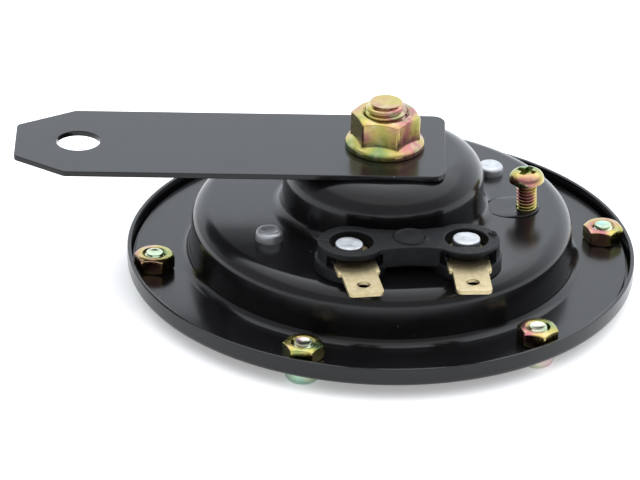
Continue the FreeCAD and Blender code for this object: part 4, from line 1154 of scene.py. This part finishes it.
def build_block():
    """Moulded terminal block: two lobes with wells, a raised bridge, and its mould marks."""
    (x1, y1), (x2, y2) = TERMINAL_PLACES
    length = math.hypot(x2 - x1, y2 - y1)
    turn = math.degrees(math.atan2(y2 - y1, x2 - x1))
    bottom = SHOULDER_HEIGHT
    added = [prism("bridge", spun(bridge_loop(length), x1, y1, turn), BRIDGE_BOTTOM, BLOCK_TOP)]
    cut = [turned("boss", [(0, bottom - 1)] + boss_form() + [(0, BLOCK_TOP + 1)], 128)]
    passage = [(0, -PASSAGE_HALF), (2 * LOBE_RADIUS, -PASSAGE_HALF)]
    passage += [(2 * LOBE_RADIUS, PASSAGE_HALF), (0, PASSAGE_HALF)]
    for (x, y), direction, lip, front in zip(TERMINAL_PLACES, BLADE_TURNS, BLOCK_LIPS, WELL_FRONTS):
        line = [(0, bottom), (LOBE_FOOT_RADIUS, bottom), (LOBE_FOOT_RADIUS, BLOCK_SEAT_TOP)]
        line += [(LOBE_RADIUS, BLOCK_SEAT_TOP + 0.02), (LOBE_RADIUS, BLOCK_TOP), (0, BLOCK_TOP)]
        added.append(turned("lobe", line, 96, x, y))
        cut.append(prism("well", spun(well_loop(front), x, y, 0), BLOCK_SEAT_TOP + 0.03, BLOCK_TOP + 1))
        cut.append(prism("passage", spun(passage, x, y, direction), BLOCK_SEAT_TOP, BLADE_TOP + 0.1))
        cut.append(prism("slot", spun(slot_loop(), x, y, direction), BLOCK_SEAT_TOP, BLOCK_TOP - lip))
    added.append(mould_mark("mark", MARK_RADII, rim=0.38, bed=0.16, segments=64, place=MARK_PLACE))
    added.append(mould_mark("pip", PIP_RADII, rim=0.4, bed=0.05, segments=32, place=PIP_PLACE))
    nick = [(-NICK_HALF_WIDTH, -NICK_HALF_LENGTH), (NICK_HALF_WIDTH, -NICK_HALF_LENGTH)]
    nick += [(NICK_HALF_WIDTH, NICK_HALF_LENGTH), (-NICK_HALF_WIDTH, NICK_HALF_LENGTH)]
    cut.append(prism("nick", spun(nick, *NICK_PLACE, NICK_TURN), BLOCK_TOP - NICK_DEPTH, BLOCK_TOP + 1))
    body = carved(added[0], added[1:], "UNION")
    for tool in cut:
        body = carved(body, [tool])
    body.name = "moulded_block"
    grain = body.modifiers.new("voxels", "REMESH")
    grain.mode = "VOXEL"
    grain.voxel_size = 0.16 * MM
    ease = body.modifiers.new("ease", "SMOOTH")
    ease.factor = 0.5
    ease.iterations = 3
    thin = body.modifiers.new("thin", "DECIMATE")
    thin.ratio = 0.5
    body = worn(baked(body, smooth_angle=60), amount=0.03, cell=1.1)
    dress(body, "block_plastic", "shell", "terminal_block")


def boss_form():
    """Outer line of the boss near its foot, which the block is cut to."""
    line = [(WALL_TOP_RADIUS + 2, SHOULDER_HEIGHT - 1), (WALL_TOP_RADIUS + 2, SHOULDER_HEIGHT)]
    line += [(BOSS_FOOT_RADIUS + 0.05, SHOULDER_HEIGHT), (BOSS_FOOT_RADIUS + 0.05, BLOCK_TOP + 1)]
    return rounded(line, [0.0, 0.0, BOSS_FOOT_FILLET, 0.0], 8)


def blade_outline():
    """Plan of a blade along +X from its rivet: a round eye, a neck, shoulders and the blade's tip."""
    eye = BLADE_EYE_RADIUS
    reach = math.asin(BLADE_NECK_HALF / eye)
    steps = 32
    angles = [reach + (2 * math.pi - 2 * reach) * i / steps for i in range(steps + 1)]
    loop = [(eye * math.cos(a), eye * math.sin(a)) for a in angles]
    tab = [(WELL_RADIUS, -BLADE_NECK_HALF), (WELL_RADIUS, -BLADE_WIDE_HALF)]
    tab += [(BLADE_SHOULDER, -BLADE_WIDE_HALF), (BLADE_SHOULDER, -BLADE_HALF), (BLADE_LENGTH, -BLADE_HALF)]
    tab += [(x, -y) for x, y in tab[::-1]]
    radii = [0.0, 0.3, 0.5, 0.15, 1.1]
    line = [loop[-1]] + tab + [loop[0]]
    return loop[:-1] + rounded(line, [0.0] + radii + radii[::-1] + [0.0])[:-1]


def build_blades():
    """Two brass blades, each bored for its rivet and its receptacle's catch."""
    holes = [flat_circle(BLADE_RIVET_HOLE, 32), flat_circle(LOCKING_HOLE_RADIUS, 40, LOCKING_HOLE_REACH)]
    loops = [blade_outline()] + holes
    for side, (x, y), turn in zip(("left", "right"), TERMINAL_PLACES, BLADE_TURNS):
        name = "brass_blade_" + side
        blade = flat_plate(name, loops, BLOCK_SEAT_TOP, BLADE_SHEET, edge=0.1, x=x, y=y, turn=turn)
        dress(blade, "terminal_brass", "shell", "blade_terminal_" + side)


# Moving pieces on the open face
def build_striker():
    """Tone disc and its nut."""
    pad = height_of(TONE_HIGH)
    nut_top = height_of(TONE_NUT_HIGH)
    inside = (TONE_HIGH.x - TONE_LOW.x) / MM / 2 - TONE_SHEET
    web = pad - TONE_DISH
    line = [
        (TONE_BORE_RADIUS, pad),
        (TONE_HUB_RADIUS, pad),
        (TONE_WEB_RADIUS, web),
        (inside, web),
        (inside, web + TONE_LIP),
    ]
    loop = sheet_loop(line, [0.0, TONE_BEND, TONE_BEND, 0.2, 0.0], TONE_SHEET)
    disc = softened(turned("tone_disc_sheet", loop, 192, closed=True), width=0.12)
    dress(disc, "tone_steel", "striker", "tone_disc")
    nut_low = height_of(TONE_NUT_LOW)
    height = nut_top - nut_low
    bore = TONE_BORE_RADIUS
    nut = hex_nut("thin_hexagon_nut", TONE_NUT_FLATS, nut_low, height, bore, sink=0.3, edge=0.1)
    dress(nut, "green_zinc", "striker", "tone_disc_nut")


def main():
    """Build the scene."""
    add_camera()
    add_studio()
    dress_solids()
    build_shell()
    build_ring()
    build_bracket()
    build_stud()
    build_bracket_nut()
    build_flange_nuts()
    build_flange_screws()
    build_adjusting_screw()
    build_rivets()
    build_block()
    build_blades()
    build_striker()


main()
